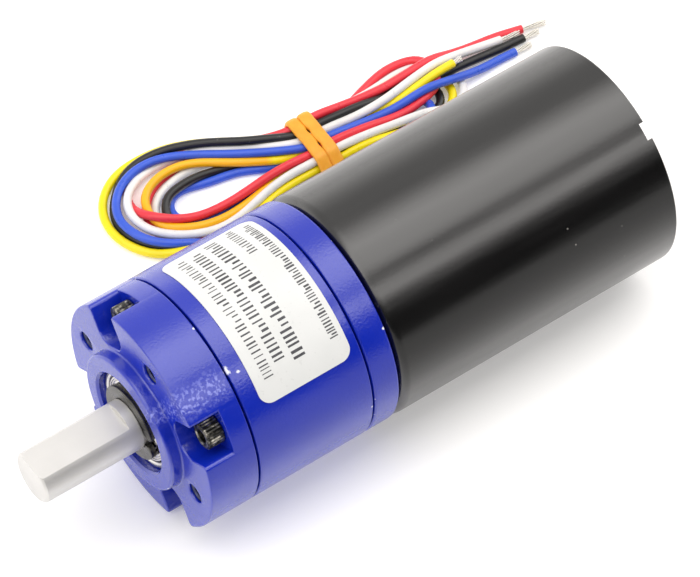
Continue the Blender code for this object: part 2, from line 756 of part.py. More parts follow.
# The hank's outline from above, in millimetres: a wide end under the housing's side, a waist in the
# band and a narrower end.
HANK_OUTLINE = (
    (11.4, -41.0), (9.6, -47.4), (3.5, -50.8), (-5.0, -50.6), (-14.0, -46.8), (-21.0, -43.2),
    (-25.0, -42.5), (-30.0, -42.9), (-38.0, -44.6), (-46.0, -44.6), (-50.6, -41.8), (-51.3, -37.6),
    (-49.0, -33.6), (-42.0, -32.2), (-33.0, -32.9), (-25.0, -33.9), (-17.0, -32.9), (-8.0, -32.4),
    (5.0, -32.4), (9.6, -35.4),
)


def smooth_line(points, spacing, cyclic=False):
    """Points about evenly spaced along a smooth curve through the given ones."""
    points = [Vector(point) for point in points]
    count = len(points)
    line = []
    for i in range(count if cyclic else count - 1):
        p1, p2 = points[i], points[(i + 1) % count]
        p0 = points[(i - 1) % count] if cyclic or i > 0 else 2 * p1 - p2
        p3 = points[(i + 2) % count] if cyclic or i + 2 < count else 2 * p2 - p1
        pieces = max(1, round((p2 - p1).length / spacing))
        for step in range(pieces):
            t = step / pieces
            bend = 2 * p0 - 5 * p1 + 4 * p2 - p3
            twist = 3 * (p1 - p2) + p3 - p0
            line.append(p1 + 0.5 * (t * (p2 - p0) + t**2 * bend + t**3 * twist))
    return line if cyclic else line + [points[-1]]


def tube(name, points, finish):
    data = bpy.data.curves.new(name, "CURVE")
    data.dimensions = "3D"
    data.bevel_depth = LEAD_DIAMETER / 2
    data.bevel_resolution = 2
    data.use_fill_caps = True
    spline = data.splines.new("POLY")
    spline.points.add(len(points) - 1)
    for target, point in zip(spline.points, points):
        target.co = (*(point * MM), 1)
    return put(name, data, finish, None)


def lead_route(number):
    """From the board, out of the end cap, down and back beside the can, to the hank's side."""
    board = (MOUNT_FACE_X + BOARD[1] - TOUCH_GAP) / MM
    rear = (MOUNT_FACE_X + REAR) / MM
    exit_y = (LEAD_EXIT_Y + (number - 2) * LEAD_PITCH) / MM
    exit_z = LEAD_EXIT_Z / MM
    back, run, turn = RETURN_X[number], RUN_Y[number], TURN_X[number]
    floor = LEAD_DIAMETER / MM / 2 + 0.1
    middle = (exit_y + run) / 2
    corner = 3.0
    end = turn - (HANK_SIDE_Y - run)
    return [
        (board, exit_y, exit_z),
        (rear - 1.0, exit_y, exit_z),
        ((rear - 1.0 + back) / 2, (exit_y * 3 + middle) / 4, exit_z * 0.85),
        (back, middle, exit_z * 0.5),
        ((rear - 1.0 + back) / 2, (run * 3 + middle) / 4, exit_z * 0.2),
        (rear + 1.0, run, floor),
        (turn - corner * 0.5, run, floor),
        (turn + corner * 0.7, run - corner * 0.4, floor),
        (end, HANK_SIDE_Y, floor),
    ]


def leads():
    spacing = 2.6 * LEAD_DIAMETER / MM
    for number, (colour, value) in enumerate(LEAD_COLOURS.items()):
        finish = material(f"{colour}_insulation", value, 0.35)
        tube(f"{colour}_lead", smooth_line(lead_route(number), spacing), finish)
        tube(f"{colour}_lead_end", smooth_line(LEAD_ENDS[colour], spacing), finish)


def lead_hank():
    outline = [(p.x * MM, p.y * MM) for p in smooth_line(HANK_OUTLINE, 3.2, cyclic=True)]
    bottom, top = HANK_HEIGHT
    hank = as_mesh(extruded("lead_hank", [outline], (top, bottom), FINISH["red_lead"], None))
    low, high = BAND_X
    waist = TOUCH_GAP * 2
    inner_bottom = BAND_Z[0] + BAND_THICKNESS + TOUCH_GAP
    groove = rounded_box((high - low) / 2 + waist, 12.0 * MM, 0.2 * MM, 1)
    middle = ((low + high) / 2, (BAND_Y[0] + BAND_Y[1]) / 2)
    cutter = extruded("band_groove", [groove], (inner_bottom, -1.0 * MM), FINISH["steel"], None, middle)
    cut(hank, make_cutter(as_mesh(cutter)))


def hank_band():
    """An elastic band round the hank's waist, drawn across the hank and stood on edge."""
    across, up = (BAND_Y[1] - BAND_Y[0]) / 2, (BAND_Z[1] - BAND_Z[0]) / 2
    outer = rounded_box(across, up, 1.0 * MM)
    inner = rounded_box(across - BAND_THICKNESS, up - BAND_THICKNESS, 0.3 * MM, 1)
    width = BAND_X[1] - BAND_X[0]
    data = flat_curve("hank_band", [outer, inner], width)
    centre = ((BAND_X[0] + BAND_X[1]) / 2, (BAND_Y[0] + BAND_Y[1]) / 2, (BAND_Z[0] + BAND_Z[1]) / 2)
    band = put("hank_band", data, FINISH["band"], None, centre)
    band.rotation_euler = AXIS_TURN


# ---------------------------------------------------------------- assembly

clear_scene()
PARTS = collection("geared_dc_motor")
CUTTERS = collection("cutters")
FINISH = {
    "blue_paint": material("blue_paint", (0.03, 0.04, 0.6), 0.25),
    "black_paint": material("black_paint", (0.03, 0.03, 0.03), 0.4),
    "black_plastic": material("black_plastic", (0.03, 0.03, 0.03), 0.5),
    "black_steel": material("black_steel", (0.05, 0.05, 0.05), 0.4, 1.0),
    "shaft_steel": material("shaft_steel", (0.75, 0.74, 0.72), 0.2, 1.0),
    "bearing_steel": material("bearing_steel", (0.7, 0.69, 0.66), 0.25, 1.0),
    "gear_steel": material("gear_steel", (0.5, 0.5, 0.5), 0.4, 1.0),
    "steel": material("steel", (0.6, 0.6, 0.6), 0.3, 1.0),
    "lamination": material("lamination", (0.3, 0.3, 0.32), 0.5, 1.0),
    "magnet": material("magnet", (0.2, 0.2, 0.22), 0.4, 1.0),
    "copper": material("copper", (0.7, 0.3, 0.12), 0.35, 1.0),
    "board": material("board", (0.02, 0.25, 0.08), 0.5),
    "fibre": material("fibre", (0.5, 0.35, 0.15), 0.8),
    "rubber": material("rubber", (0.02, 0.02, 0.02), 0.7),
    "label_paper": material("label_paper", (0.85, 0.86, 0.87), 0.45),
    "red_lead": material("red_lead", (0.8, 0.03, 0.04), 0.4),
    "band": material("band", (0.85, 0.45, 0.03), 0.5),
}
AXIS_TURN = (math.pi / 2, 0, math.pi / 2)

motor_axis = empty("motor_axis", None, (MOUNT_FACE_X, 0, AXIS_HEIGHT))
motor_axis.rotation_euler = AXIS_TURN
output_axis = empty("output_axis", motor_axis, (0, 0, 0))
first_axis = empty("first_carrier_axis", motor_axis, (0, 0, 0))
rotor_axis = empty("rotor_axis", motor_axis, (0, 0, 0))
bpy.context.view_layer.update()

front_housing(motor_axis)
ring_gear_housing(motor_axis)
motor_adapter_plate(motor_axis)
housing_screws(motor_axis)
product_label(motor_axis)
output_shaft(output_axis)
output_circlip(output_axis)
output_bearings(motor_axis, output_axis)
carrier_plate("output_carrier", OUTPUT_CARRIER, 4.6 * MM, output_axis)
planet_stage("output", OUTPUT_PLANETS, OUTPUT_CARRIER, output_axis)
first_carrier_and_sun(first_axis)
planet_stage("first", FIRST_PLANETS, FIRST_CARRIER, first_axis)
motor_pinion(rotor_axis)
motor_can(motor_axis)
motor_screws(motor_axis)
motor_bearings(motor_axis, rotor_axis)
rotor_parts(rotor_axis)
stator(motor_axis)
driver_board(motor_axis)
rear_end_cap(motor_axis)
wire_grommet(motor_axis)
leads()
lead_hank()
hank_band()

for part in PARTS.objects:
    smooth(part)
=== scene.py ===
"""The looks of a 36 mm planetary geared dc motor that lies on a pale floor, with its leads in a banded hank.

Lengths are in metres and places are in the row's frame: +X along the output shaft, +Z up, the leads at -Y.
Lists of places are written in millimetres, and MM turns them into metres.
"""

import math
import random

import bmesh
import bpy
import numpy as np
from mathutils import Matrix, Vector


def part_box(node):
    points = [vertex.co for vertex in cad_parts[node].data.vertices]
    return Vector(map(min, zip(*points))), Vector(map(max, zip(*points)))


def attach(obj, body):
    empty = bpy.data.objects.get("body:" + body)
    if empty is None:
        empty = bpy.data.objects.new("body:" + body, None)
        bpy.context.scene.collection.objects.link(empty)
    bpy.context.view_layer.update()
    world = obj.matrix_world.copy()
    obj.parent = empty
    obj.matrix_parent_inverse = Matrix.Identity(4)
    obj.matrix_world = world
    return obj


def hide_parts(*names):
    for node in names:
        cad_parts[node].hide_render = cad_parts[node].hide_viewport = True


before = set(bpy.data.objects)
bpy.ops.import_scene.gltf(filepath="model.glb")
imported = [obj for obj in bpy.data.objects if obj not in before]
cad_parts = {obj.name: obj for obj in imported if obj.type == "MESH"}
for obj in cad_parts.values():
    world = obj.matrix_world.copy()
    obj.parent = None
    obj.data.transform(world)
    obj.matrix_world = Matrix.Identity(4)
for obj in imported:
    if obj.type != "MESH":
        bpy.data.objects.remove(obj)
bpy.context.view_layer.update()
MM = 0.001

LEAD_DIAMETER = 1.4 * MM


# ---------------------------------------------------------------- node materials

class Finish:
    """A node material being made: a shader and the nodes that feed it."""

    def __init__(self, name, colour, roughness, metallic=0.0, ior=1.5):
        self.material = bpy.data.materials.new(name)
        self.material.use_nodes = True
        self.tree = self.material.node_tree
        self.shader = self.tree.nodes["Principled BSDF"]
        self.set("Base Color", (*colour, 1))
        self.set("Roughness", roughness)
        self.set("Metallic", metallic)
        self.set("IOR", ior)
        self.place = self.add("ShaderNodeTexCoord").outputs["Object"]
        self.height = None

    def add(self, kind, **settings):
        node = self.tree.nodes.new(kind)
        for key, value in settings.items():
            setattr(node, key, value)
        return node

    def set(self, socket, value):
        self.shader.inputs[socket].default_value = value

    def link(self, source, target):
        self.tree.links.new(source, target)

    def math(self, operation, first, second=None):
        node = self.add("ShaderNodeMath", operation=operation)
        for socket, value in zip(node.inputs, (first, second)):
            if isinstance(value, (int, float)):
                socket.default_value = value
            elif value is not None:
                self.link(value, socket)
        return node.outputs[0]

    def times(self, first, *others):
        for other in others:
            first = self.math("MULTIPLY", first, other)
        return first

    def noise(self, size, detail=2.0, stretch=(1, 1, 1)):
        """Cloudy noise whose lumps are about size metres across, squeezed along an axis by stretch."""
        squeeze = self.add("ShaderNodeMapping")
        squeeze.inputs["Scale"].default_value = [s / size for s in stretch]
        self.link(self.place, squeeze.inputs["Vector"])
        cloud = self.add("ShaderNodeTexNoise")
        cloud.inputs["Scale"].default_value = 1.0
        cloud.inputs["Detail"].default_value = detail
        self.link(squeeze.outputs[0], cloud.inputs["Vector"])
        return cloud.outputs["Fac"]

    def grow(self, value, low, high, to_low=0.0, to_high=1.0):
        """The value's range from low to high turned into another, and held at its ends."""
        node = self.add("ShaderNodeMapRange")
        for key, number in zip(("From Min", "From Max", "To Min", "To Max"), (low, high, to_low, to_high)):
            node.inputs[key].default_value = number
        self.link(value, node.inputs["Value"])
        return node.outputs[0]

    def mix(self, share, first, second):
        """A colour between two, each a colour or another node's output."""
        node = self.add("ShaderNodeMix", data_type="RGBA")
        self.link(share, node.inputs["Factor"])
        for key, value in (("A", first), ("B", second)):
            socket = [s for s in node.inputs if s.name == key and s.type == "RGBA"][0]
            if isinstance(value, tuple):
                socket.default_value = (*value, 1)
            else:
                self.link(value, socket)
        return [s for s in node.outputs if s.type == "RGBA"][0]

    def bump(self, height, depth):
        """Adds relief that is depth metres high where height runs from 0 to 1."""
        node = self.add("ShaderNodeBump")
        node.inputs["Distance"].default_value = depth
        node.inputs["Strength"].default_value = 1.0
        self.link(height, node.inputs["Height"])
        if self.height:
            self.link(self.height, node.inputs["Normal"])
        self.height = node.outputs[0]
        self.link(self.height, self.shader.inputs["Normal"])

    def colour(self, source):
        self.link(source, self.shader.inputs["Base Color"])

    def rough(self, source):
        self.link(source, self.shader.inputs["Roughness"])

    def uneven(self, size, low, high, detail=2.0):
        """Roughness that drifts from low to high, in lumps about size metres across."""
        self.rough(self.grow(self.noise(size, detail), 0.3, 0.7, low, high))

    def axes(self):
        """The place's x, and its distance from the motor's axis and angle about it."""
        parts = self.add("ShaderNodeSeparateXYZ")
        self.link(self.place, parts.inputs[0])
        above = self.math("SUBTRACT", parts.outputs["Z"], AXIS_Z)
        square = self.math("ADD", self.math("POWER", parts.outputs["Y"], 2.0), self.math("POWER", above, 2.0))
        radius = self.math("SQRT", square)
        angle = self.math("ARCTAN2", above, parts.outputs["Y"])
        return parts.outputs["X"], radius, angle


# ---------------------------------------------------------------- camera, floor and light

def camera():
    data = bpy.data.cameras.new("camera")
    data.lens = 215.4
    data.sensor_width = 36.0
    data.clip_start = 0.05
    made = bpy.data.objects.new("camera", data)
    bpy.context.scene.collection.objects.link(made)
    forward = Vector((-0.35725, -0.49609, -0.79137))
    right = Vector((-0.81148, 0.58438, 0.0))
    up = right.cross(forward)
    turn = Matrix((right, up, -forward)).transposed()
    made.matrix_world = Matrix.Translation(Vector((213.28, 302.33, 502.37)) * MM) @ turn.to_4x4()
    bpy.context.scene.camera = made


FLOOR_HALF = 3.0
FLOOR_GLOW = 0.19
FLOOR_BLACK = 0.02
# The motor's sides mirror a floor that falls into shade in front of it: where the shade starts, the length
# that it grows over, and how much it takes away.
SHADE_START, SHADE_LENGTH, SHADE_DEPTH = 25 * MM, 18 * MM, 0.65


def floor():
    """A wide pale sheet."""
    data = bpy.data.meshes.new("floor")
    corners = [(x * FLOOR_HALF, y * FLOOR_HALF, 0) for x, y in ((-1, -1), (1, -1), (1, 1), (-1, 1))]
    data.from_pydata(corners, [], [(0, 1, 2, 3)])
    made = bpy.data.objects.new("floor", data)
    bpy.context.scene.collection.objects.link(made)
    paper = Finish("floor_paper", (0.9, 0.9, 0.9), 0.7)
    paper.set("Emission Color", (1, 0.995, 0.99, 1))
    paper.set("Emission Strength", FLOOR_GLOW)
    parts = paper.add("ShaderNodeSeparateXYZ")
    paper.link(paper.place, parts.inputs[0])
    past = paper.math("MAXIMUM", paper.math("SUBTRACT", parts.outputs["Y"], SHADE_START), 0.0)
    left = paper.math("EXPONENT", paper.math("DIVIDE", past, -SHADE_LENGTH))
    sight = paper.add("ShaderNodeLightPath")
    shade = paper.times(paper.math("SUBTRACT", left, 1.0), -SHADE_DEPTH, sight.outputs["Is Glossy Ray"])
    black = paper.add("ShaderNodeEmission")
    black.inputs["Strength"].default_value = FLOOR_BLACK
    pick = paper.add("ShaderNodeMixShader")
    paper.link(shade, pick.inputs["Fac"])
    paper.link(paper.shader.outputs[0], pick.inputs[1])
    paper.link(black.outputs[0], pick.inputs[2])
    paper.link(pick.outputs[0], paper.tree.nodes["Material Output"].inputs["Surface"])
    data.materials.append(paper.material)


# The studio round the motor, as brightness against the angle about the motor's axis, in degrees from the
# +Y horizon: a dark room behind the camera, a narrow strip light, a wide softbox and a pale wall.
STUDIO_PEAK = 3.4
STUDIO = (
    (0, 0.03), (29, 0.03), (38, 0.45), (45, 2.3), (53, 2.4), (59, 0.45), (65, 0.45), (71, 2.2), (84, 2.35),
    (99, 2.8), (110, 1.8), (121, 0.75), (146, 0.75), (158, 1.05), (170, 1.5), (180, 1.7),
)
WARM = (1.0, 0.975, 0.95)


def studio():
    world = bpy.data.worlds.new("studio")
    bpy.context.scene.world = world
    world.use_nodes = True
    tree = world.node_tree
    tree.nodes.clear()
    direction = tree.nodes.new("ShaderNodeTexCoord")
    parts = tree.nodes.new("ShaderNodeSeparateXYZ")
    angle = tree.nodes.new("ShaderNodeMath")
    share = tree.nodes.new("ShaderNodeMath")
    lights = tree.nodes.new("ShaderNodeValToRGB")
    lit = tree.nodes.new("ShaderNodeBackground")
    pale = tree.nodes.new("ShaderNodeBackground")
    sight = tree.nodes.new("ShaderNodeLightPath")
    pick = tree.nodes.new("ShaderNodeMixShader")
    out = tree.nodes.new("ShaderNodeOutputWorld")
    angle.operation = "ARCTAN2"
    share.operation = "DIVIDE"
    share.inputs[1].default_value = math.pi
    tree.links.new(direction.outputs["Generated"], parts.inputs[0])
    tree.links.new(parts.outputs["Z"], angle.inputs[0])
    tree.links.new(parts.outputs["Y"], angle.inputs[1])
    tree.links.new(angle.outputs[0], share.inputs[0])
    tree.links.new(share.outputs[0], lights.inputs["Fac"])
    stops = lights.color_ramp.elements
    stops.remove(stops[1])
    for number, (degrees, bright) in enumerate(STUDIO):
        stop = stops[0] if number == 0 else stops.new(degrees / 180)
        stop.position = degrees / 180
        stop.color = (*(bright / STUDIO_PEAK * tint for tint in WARM), 1)
    lit.inputs["Strength"].default_value = STUDIO_PEAK
    pale.inputs["Color"].default_value = (1, 1, 1, 1)
    tree.links.new(lights.outputs["Color"], lit.inputs["Color"])
    tree.links.new(sight.outputs["Is Camera Ray"], pick.inputs["Fac"])
    tree.links.new(lit.outputs[0], pick.inputs[1])
    tree.links.new(pale.outputs[0], pick.inputs[2])
    tree.links.new(pick.outputs[0], out.inputs["Surface"])


camera()
floor()
studio()
bpy.context.scene.view_settings.view_transform = "Standard"


# ---------------------------------------------------------------- materials

def blue_paint():
    """Thick glossy enamel: a little orange peel, soft drifts of tone, a few chips at the rims, and pale
    specks painted on one side as a painted highlight.
    """
    made = Finish("blue_enamel", (0.003, 0.018, 0.39), 0.2, ior=1.8)
    drift = made.noise(9 * MM, 3.0)
    blue = made.mix(drift, (0.002, 0.015, 0.36), (0.005, 0.024, 0.44))
    x, radius, angle = made.axes()
    rims = [made.math("ABSOLUTE", made.math("SUBTRACT", x, rim)) for rim in RIMS]
    nearest = rims[0]
    for rim in rims[1:]:
        nearest = made.math("MINIMUM", nearest, rim)
    by_rim = made.grow(nearest, 0.15 * MM, 0.5 * MM, 1.0, 0.0)
    outside = made.grow(radius, 10.6 * MM, 10.8 * MM)
    worn = made.grow(made.noise(2.1 * MM, 4.0), 0.69, 0.73)
    chips = made.times(by_rim, worn, outside)
    ragged = made.grow(made.noise(0.6 * MM, 3.0), 0.3, 0.7, -0.2 * MM, 0.2 * MM)
    for place, size in CHIPS:
        gap = made.add("ShaderNodeVectorMath", operation="DISTANCE")
        made.link(made.place, gap.inputs[0])
        gap.inputs[1].default_value = around(*place)
        apart = made.math("ADD", gap.outputs["Value"], ragged)
        chips = made.math("MAXIMUM", chips, made.grow(apart, size * 0.5, size, 1.0, 0.0))
    painted = made.mix(chips, blue, (0.82, 0.84, 0.92))
    made.uneven(3.5 * MM, 0.17, 0.25, 3.0)
    # Painted highlight: pale specks painted into the colour on one side of the housing, where the light's
    # highlight glints on the orange peel.
    aside = made.math("ABSOLUTE", made.math("SUBTRACT", angle, math.radians(53.0)))
    near = made.grow(aside, math.radians(3.0), math.radians(9.0), 1.0, 0.0)
    ahead = made.grow(x, FACE_X - 8.2 * MM, FACE_X - 6.8 * MM)
    grain = made.grow(made.noise(0.5 * MM), 0.5, 0.62)
    made.colour(made.mix(made.times(near, ahead, grain, 0.55), painted, (0.3, 0.34, 0.85)))
    made.bump(made.noise(1.9 * MM, 1.0), 0.012 * MM)
    made.bump(made.noise(0.36 * MM, 2.0), 0.034 * MM)
    made.bump(chips, -0.03 * MM)
    return made.material


def black_paint():
    """Satin black on drawn steel: fine grain, faint lengthwise drag and small pale scuffs."""
    made = Finish("satin_black", (0.002, 0.002, 0.002), 0.22, ior=1.85)
    drag = made.noise(1.2 * MM, 2.0, (0.08, 1, 1))
    specks = made.grow(made.noise(1.1 * MM, 2.0), 0.78, 0.82)
    x, _, _ = made.axes()
    end = made.grow(x, REAR_X + 0.05 * MM, REAR_X + 0.3 * MM, 1.0, 0.0)
    bare = made.times(end, made.grow(made.noise(1.6 * MM, 3.0), 0.6, 0.72, 0.0, 0.7))
    scuffs = made.math("MAXIMUM", specks, bare)
    made.colour(made.mix(scuffs, (0.002, 0.002, 0.0021), (0.4, 0.385, 0.36)))
    made.rough(made.grow(drag, 0.3, 0.7, 0.19, 0.25))
    made.bump(made.noise(0.5 * MM, 2.0), 0.006 * MM)
    made.bump(drag, 0.004 * MM)
    return made.material


def steel(name, colour, roughness, grain="round", depth=0.003, metallic=1.0):
    """Bare metal with its machining lines: round the axis, or along it."""
    made = Finish(name, colour, roughness, metallic=metallic)
    x, radius, _ = made.axes()
    lines = made.add("ShaderNodeTexNoise", noise_dimensions="1D")
    lines.inputs["Scale"].default_value = 9000.0
    lines.inputs["Detail"].default_value = 3.0
    made.link(made.math("ADD", x, radius) if grain == "round" else radius, lines.inputs["W"])
    cloud = made.noise(4 * MM, 3.0)
    dark = tuple(c * 0.88 for c in colour)
    made.colour(made.mix(cloud, dark, colour))
    made.rough(made.grow(lines.outputs["Fac"], 0.3, 0.7, roughness - 0.05, roughness + 0.05))
    made.bump(lines.outputs["Fac"], depth * MM)
    return made.material


def black_oxide():
    """Oiled black steel that has rubbed brown-grey on its high spots."""
    made = Finish("black_oxide", (0.02, 0.02, 0.02), 0.35, metallic=1.0)
    rubbed = made.grow(made.noise(0.8 * MM, 4.0), 0.45, 0.65)
    made.colour(made.mix(rubbed, (0.05, 0.05, 0.047), (0.4, 0.38, 0.33)))
    made.rough(made.grow(rubbed, 0, 1, 0.42, 0.28))
    made.bump(made.noise(0.15 * MM, 2.0), 0.004 * MM)
    return made.material


def thread_metal():
    made = Finish("cut_thread", (0.05, 0.06, 0.14), 0.35, metallic=1.0)
    made.colour(made.mix(made.noise(0.6 * MM, 3.0), (0.03, 0.035, 0.11), (0.12, 0.13, 0.2)))
    made.uneven(0.3 * MM, 0.3, 0.45)
    return made.material


def label_paper():
    """Coated white paper: faint mottling and a soft sheen."""
    made = Finish("coated_paper", (0.7, 0.71, 0.7), 0.32, ior=1.5)
    mottle = made.noise(5 * MM, 5.0)
    made.colour(made.mix(mottle, (0.66, 0.675, 0.665), (0.74, 0.745, 0.74)))
    made.uneven(0.7 * MM, 0.27, 0.36)
    made.bump(made.noise(6 * MM, 2.0), 0.03 * MM)
    made.bump(made.noise(0.25 * MM, 2.0), 0.002 * MM)
    return made.material


def ink():
    made = Finish("label_ink", (0.03, 0.03, 0.035), 0.45)
    made.colour(made.mix(made.noise(0.5 * MM, 4.0), (0.02, 0.02, 0.025), (0.1, 0.1, 0.11)))
    made.uneven(0.4 * MM, 0.38, 0.5)
    return made.material


# Where the yellow lead's inner loop lies, in mm, and half its length and width: there the sleeve is painted a
# deeper orange as painted shade and bounce light. The height counts for little.
SHADED_LOOP_MIDDLE = (-5.0, -40.2, 0.0)
SHADED_LOOP_HALVES = (12.0, 8.2, 1e6)


def insulation(colour, value):
    """Soft extruded sleeve: slightly uneven, with drag lines and small handling marks."""
    made = Finish(f"{colour}_sleeve", value, 0.34, ior=1.52)
    made.set("Subsurface Weight", 0.08 if colour != "black" else 0.0)
    made.set("Subsurface Radius", (0.4, 0.3, 0.25))
    made.set("Subsurface Scale", 0.4 * MM)
    uneven = made.noise(2.5 * MM, 3.0)
    pale = tuple(min(1.0, c * 1.1 + 0.004) for c in value)
    deep = tuple(c * 0.86 for c in value)
    marks = made.grow(made.noise(0.9 * MM, 4.0), 0.66, 0.76, 0.0, 0.35)
    smudge = (0.22, 0.21, 0.2) if colour in ("white", "black") else tuple(c * 0.6 for c in value)
    sleeve = made.mix(uneven, deep, pale)
    if colour == "yellow":
        # Painted shade: its inner loop, which lies in an ellipse, is painted more orange than the rest,
        # standing in for the shade and reddish bounce light there.
        apart = made.add("ShaderNodeVectorMath", operation="SUBTRACT")
        scaled = made.add("ShaderNodeVectorMath", operation="DIVIDE")
        size = made.add("ShaderNodeVectorMath", operation="LENGTH")
        made.link(made.place, apart.inputs[0])
        apart.inputs[1].default_value = [v * MM for v in SHADED_LOOP_MIDDLE]
        made.link(apart.outputs[0], scaled.inputs[0])
        scaled.inputs[1].default_value = [v * MM for v in SHADED_LOOP_HALVES]
        made.link(scaled.outputs[0], size.inputs[0])
        painted_loop_shade = made.grow(size.outputs["Value"], 0.97, 1.07, 0.85, 0.0)
        sleeve = made.mix(painted_loop_shade, sleeve, (0.9, 0.4, 0.002))
    made.colour(made.mix(marks, sleeve, smudge))
    made.uneven(1.1 * MM, 0.27, 0.42, 3.0)
    made.bump(made.noise(0.5 * MM, 2.0), 0.006 * MM)
    return made.material


def elastic():
    """Latex band: translucent amber with dusty, slightly ribbed faces."""
    made = Finish("amber_latex", (0.85, 0.36, 0.02), 0.42, ior=1.5)
    made.set("Subsurface Weight", 0.2)
    made.set("Subsurface Radius", (1.0, 0.5, 0.1))
    made.set("Subsurface Scale", 0.5 * MM)
    made.colour(made.mix(made.noise(1.5 * MM, 3.0), (0.78, 0.30, 0.012), (0.92, 0.44, 0.04)))
    made.uneven(0.6 * MM, 0.35, 0.5, 3.0)
    made.bump(made.noise(0.3 * MM, 2.0, (6, 1, 1)), 0.008 * MM)
    return made.material


def rough_solid(name, first, second, roughness, size, metallic=0.0, relief=0.01):
    """A matt or metal finish with two mingled shades."""
    made = Finish(name, first, roughness, metallic)
    made.colour(made.mix(made.noise(size, 4.0), first, second))
    made.uneven(size / 2, roughness - 0.06, roughness + 0.06, 3.0)
    made.bump(made.noise(size / 3, 2.0), relief * MM)
    return made.material


def striped(name, first, second, roughness, pitch, metallic=1.0):
    """Layers or turns of wire, side by side along the motor's axis."""
    made = Finish(name, first, roughness, metallic)
    x, _, _ = made.axes()
    wave = made.math("SINE", made.math("MULTIPLY", x, 2 * math.pi / pitch))
    ridge = made.grow(wave, -1, 1)
    made.colour(made.mix(made.times(ridge, made.noise(3 * MM)), first, second))
    made.uneven(1 * MM, roughness - 0.05, roughness + 0.08)
    made.bump(ridge, pitch * 0.25)
    return made.material


# ---------------------------------------------------------------- the motor's own axis

AXIS_Z = (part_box("motor_can")[0].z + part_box("motor_can")[1].z) / 2
TIP_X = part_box("output_shaft")[1].x
REAR_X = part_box("motor_can")[0].x
BOSS_HEIGHT = 2.0
FACE_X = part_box("front_housing")[1].x - BOSS_HEIGHT * MM
SEAMS = (-8.2, -8.5, -28.15, -28.45, -32.8)
RIMS = [FACE_X + x * MM for x in SEAMS]


def polar(radius, degrees):
    return radius * math.cos(math.radians(degrees)), radius * math.sin(math.radians(degrees))


def around(x, radius, degrees):
    """A place from its height over the mounting face, its distance from the axis and its angle, in mm."""
    y, z = polar(radius, degrees)
    return Vector((FACE_X + x * MM, y * MM, AXIS_Z + z * MM))


# Chips in the blue paint: height over the mounting face, distance from the axis and angle, and the size.
CHIPS = (
    ((-7.9, 18, 81), 0.28 * MM), ((-8.5, 18, 57.5), 0.55 * MM), ((-8.6, 18, 56), 0.5 * MM),
    ((-10.1, 18, 54.3), 0.3 * MM), ((2.0, 11, -19), 0.2 * MM), ((2.0, 10.9, -28), 0.2 * MM),
    ((-8.2, 18, 12), 0.2 * MM), ((0, 16.6, 118), 0.2 * MM), ((-28.3, 18, 119), 0.25 * MM),
    ((-28.3, 18, 88), 0.2 * MM), ((-32.6, 18, 38), 0.22 * MM), ((-28.4, 18, 4), 0.2 * MM),
)


# ---------------------------------------------------------------- shapes

ROUND = 160


def arc(radius, start, end, count, centre=(0.0, 0.0)):
    points = [polar(radius, start + (end - start) * i / count) for i in range(count + 1)]
    return [(centre[0] + x, centre[1] + y) for x, y in points]


def circle(radius, count, centre=(0.0, 0.0)):
    return arc(radius, 0, 360, count, centre)[:-1]


def holes_at(angles, from_axis, radius, count):
    return [circle(radius, count, polar(from_axis, angle)) for angle in angles]


def turn_outline(outline, degrees):
    cosine, sine = polar(1.0, degrees)
    return [(x * cosine - y * sine, x * sine + y * cosine) for x, y in outline]


def turned(profile, steps=ROUND, centre=(0.0, 0.0)):
    """A closed ring or solid: a loop of (x, radius) points, in mm, turned about the axis or beside it."""
    work = bmesh.new()
    cy, cz = centre
    rings = []
    for step in range(steps):
        c, s = polar(1.0, 360.0 * step / steps)
        ring = []
        for x, r in profile:
            place = (FACE_X + x * MM, (cy + r * c) * MM, AXIS_Z + (cz + r * s) * MM)
            ring.append(work.verts.new(place))
        rings.append(ring)
    for ring, after in zip(rings, rings[1:] + rings[:1]):
        for i in range(len(profile)):
            j = (i + 1) % len(profile)
            if profile[i][1] > 0 or profile[j][1] > 0:
                work.faces.new((ring[i], ring[j], after[j], after[i]))
    bmesh.ops.remove_doubles(work, verts=work.verts, dist=1e-7)
    bmesh.ops.dissolve_degenerate(work, dist=1e-8, edges=work.edges)
    return finish_mesh(work)


def finish_mesh(work):
    bmesh.ops.recalc_face_normals(work, faces=work.faces)
    mesh = bpy.data.meshes.new("shape")
    work.to_mesh(mesh)
    work.free()
    return mesh


def plate(outlines, span, rounding=0.0):
    """A plate cut to outlines across the axis, from one x to another, with its edges rounded, in mm."""
    high, low = span
    data = bpy.data.curves.new("plate", "CURVE")
    data.dimensions = "2D"
    data.fill_mode = "BOTH"
    data.extrude = (high - low) / 2 - rounding
    data.bevel_depth = rounding
    data.bevel_resolution = 2
    data.offset = -rounding
    for outline in outlines:
        spline = data.splines.new("POLY")
        spline.points.add(len(outline) - 1)
        for point, (x, y) in zip(spline.points, outline):
            point.co = (x, y, 0, 1)
        spline.use_cyclic_u = True
    helper = bpy.data.objects.new("plate", data)
    bpy.context.scene.collection.objects.link(helper)
    bpy.context.view_layer.update()
    mesh = bpy.data.meshes.new_from_object(helper.evaluated_get(bpy.context.evaluated_depsgraph_get()))
    bpy.data.objects.remove(helper)
    middle = Matrix.Translation((FACE_X + (high + low) / 2 * MM, 0, AXIS_Z))
    axes = Matrix(((0, 0, 1, 0), (1, 0, 0, 0), (0, 1, 0, 0), (0, 0, 0, 1)))
    mesh.transform(middle @ axes @ Matrix.Scale(MM, 4))
    work = bmesh.new()
    work.from_mesh(mesh)
    bmesh.ops.remove_doubles(work, verts=work.verts, dist=1e-7)
    return finish_mesh(work)


def joined(meshes):
    work = bmesh.new()
    for mesh in meshes:
        work.from_mesh(mesh)
    made = bpy.data.meshes.new("shape")
    work.to_mesh(made)
    work.free()
    return made


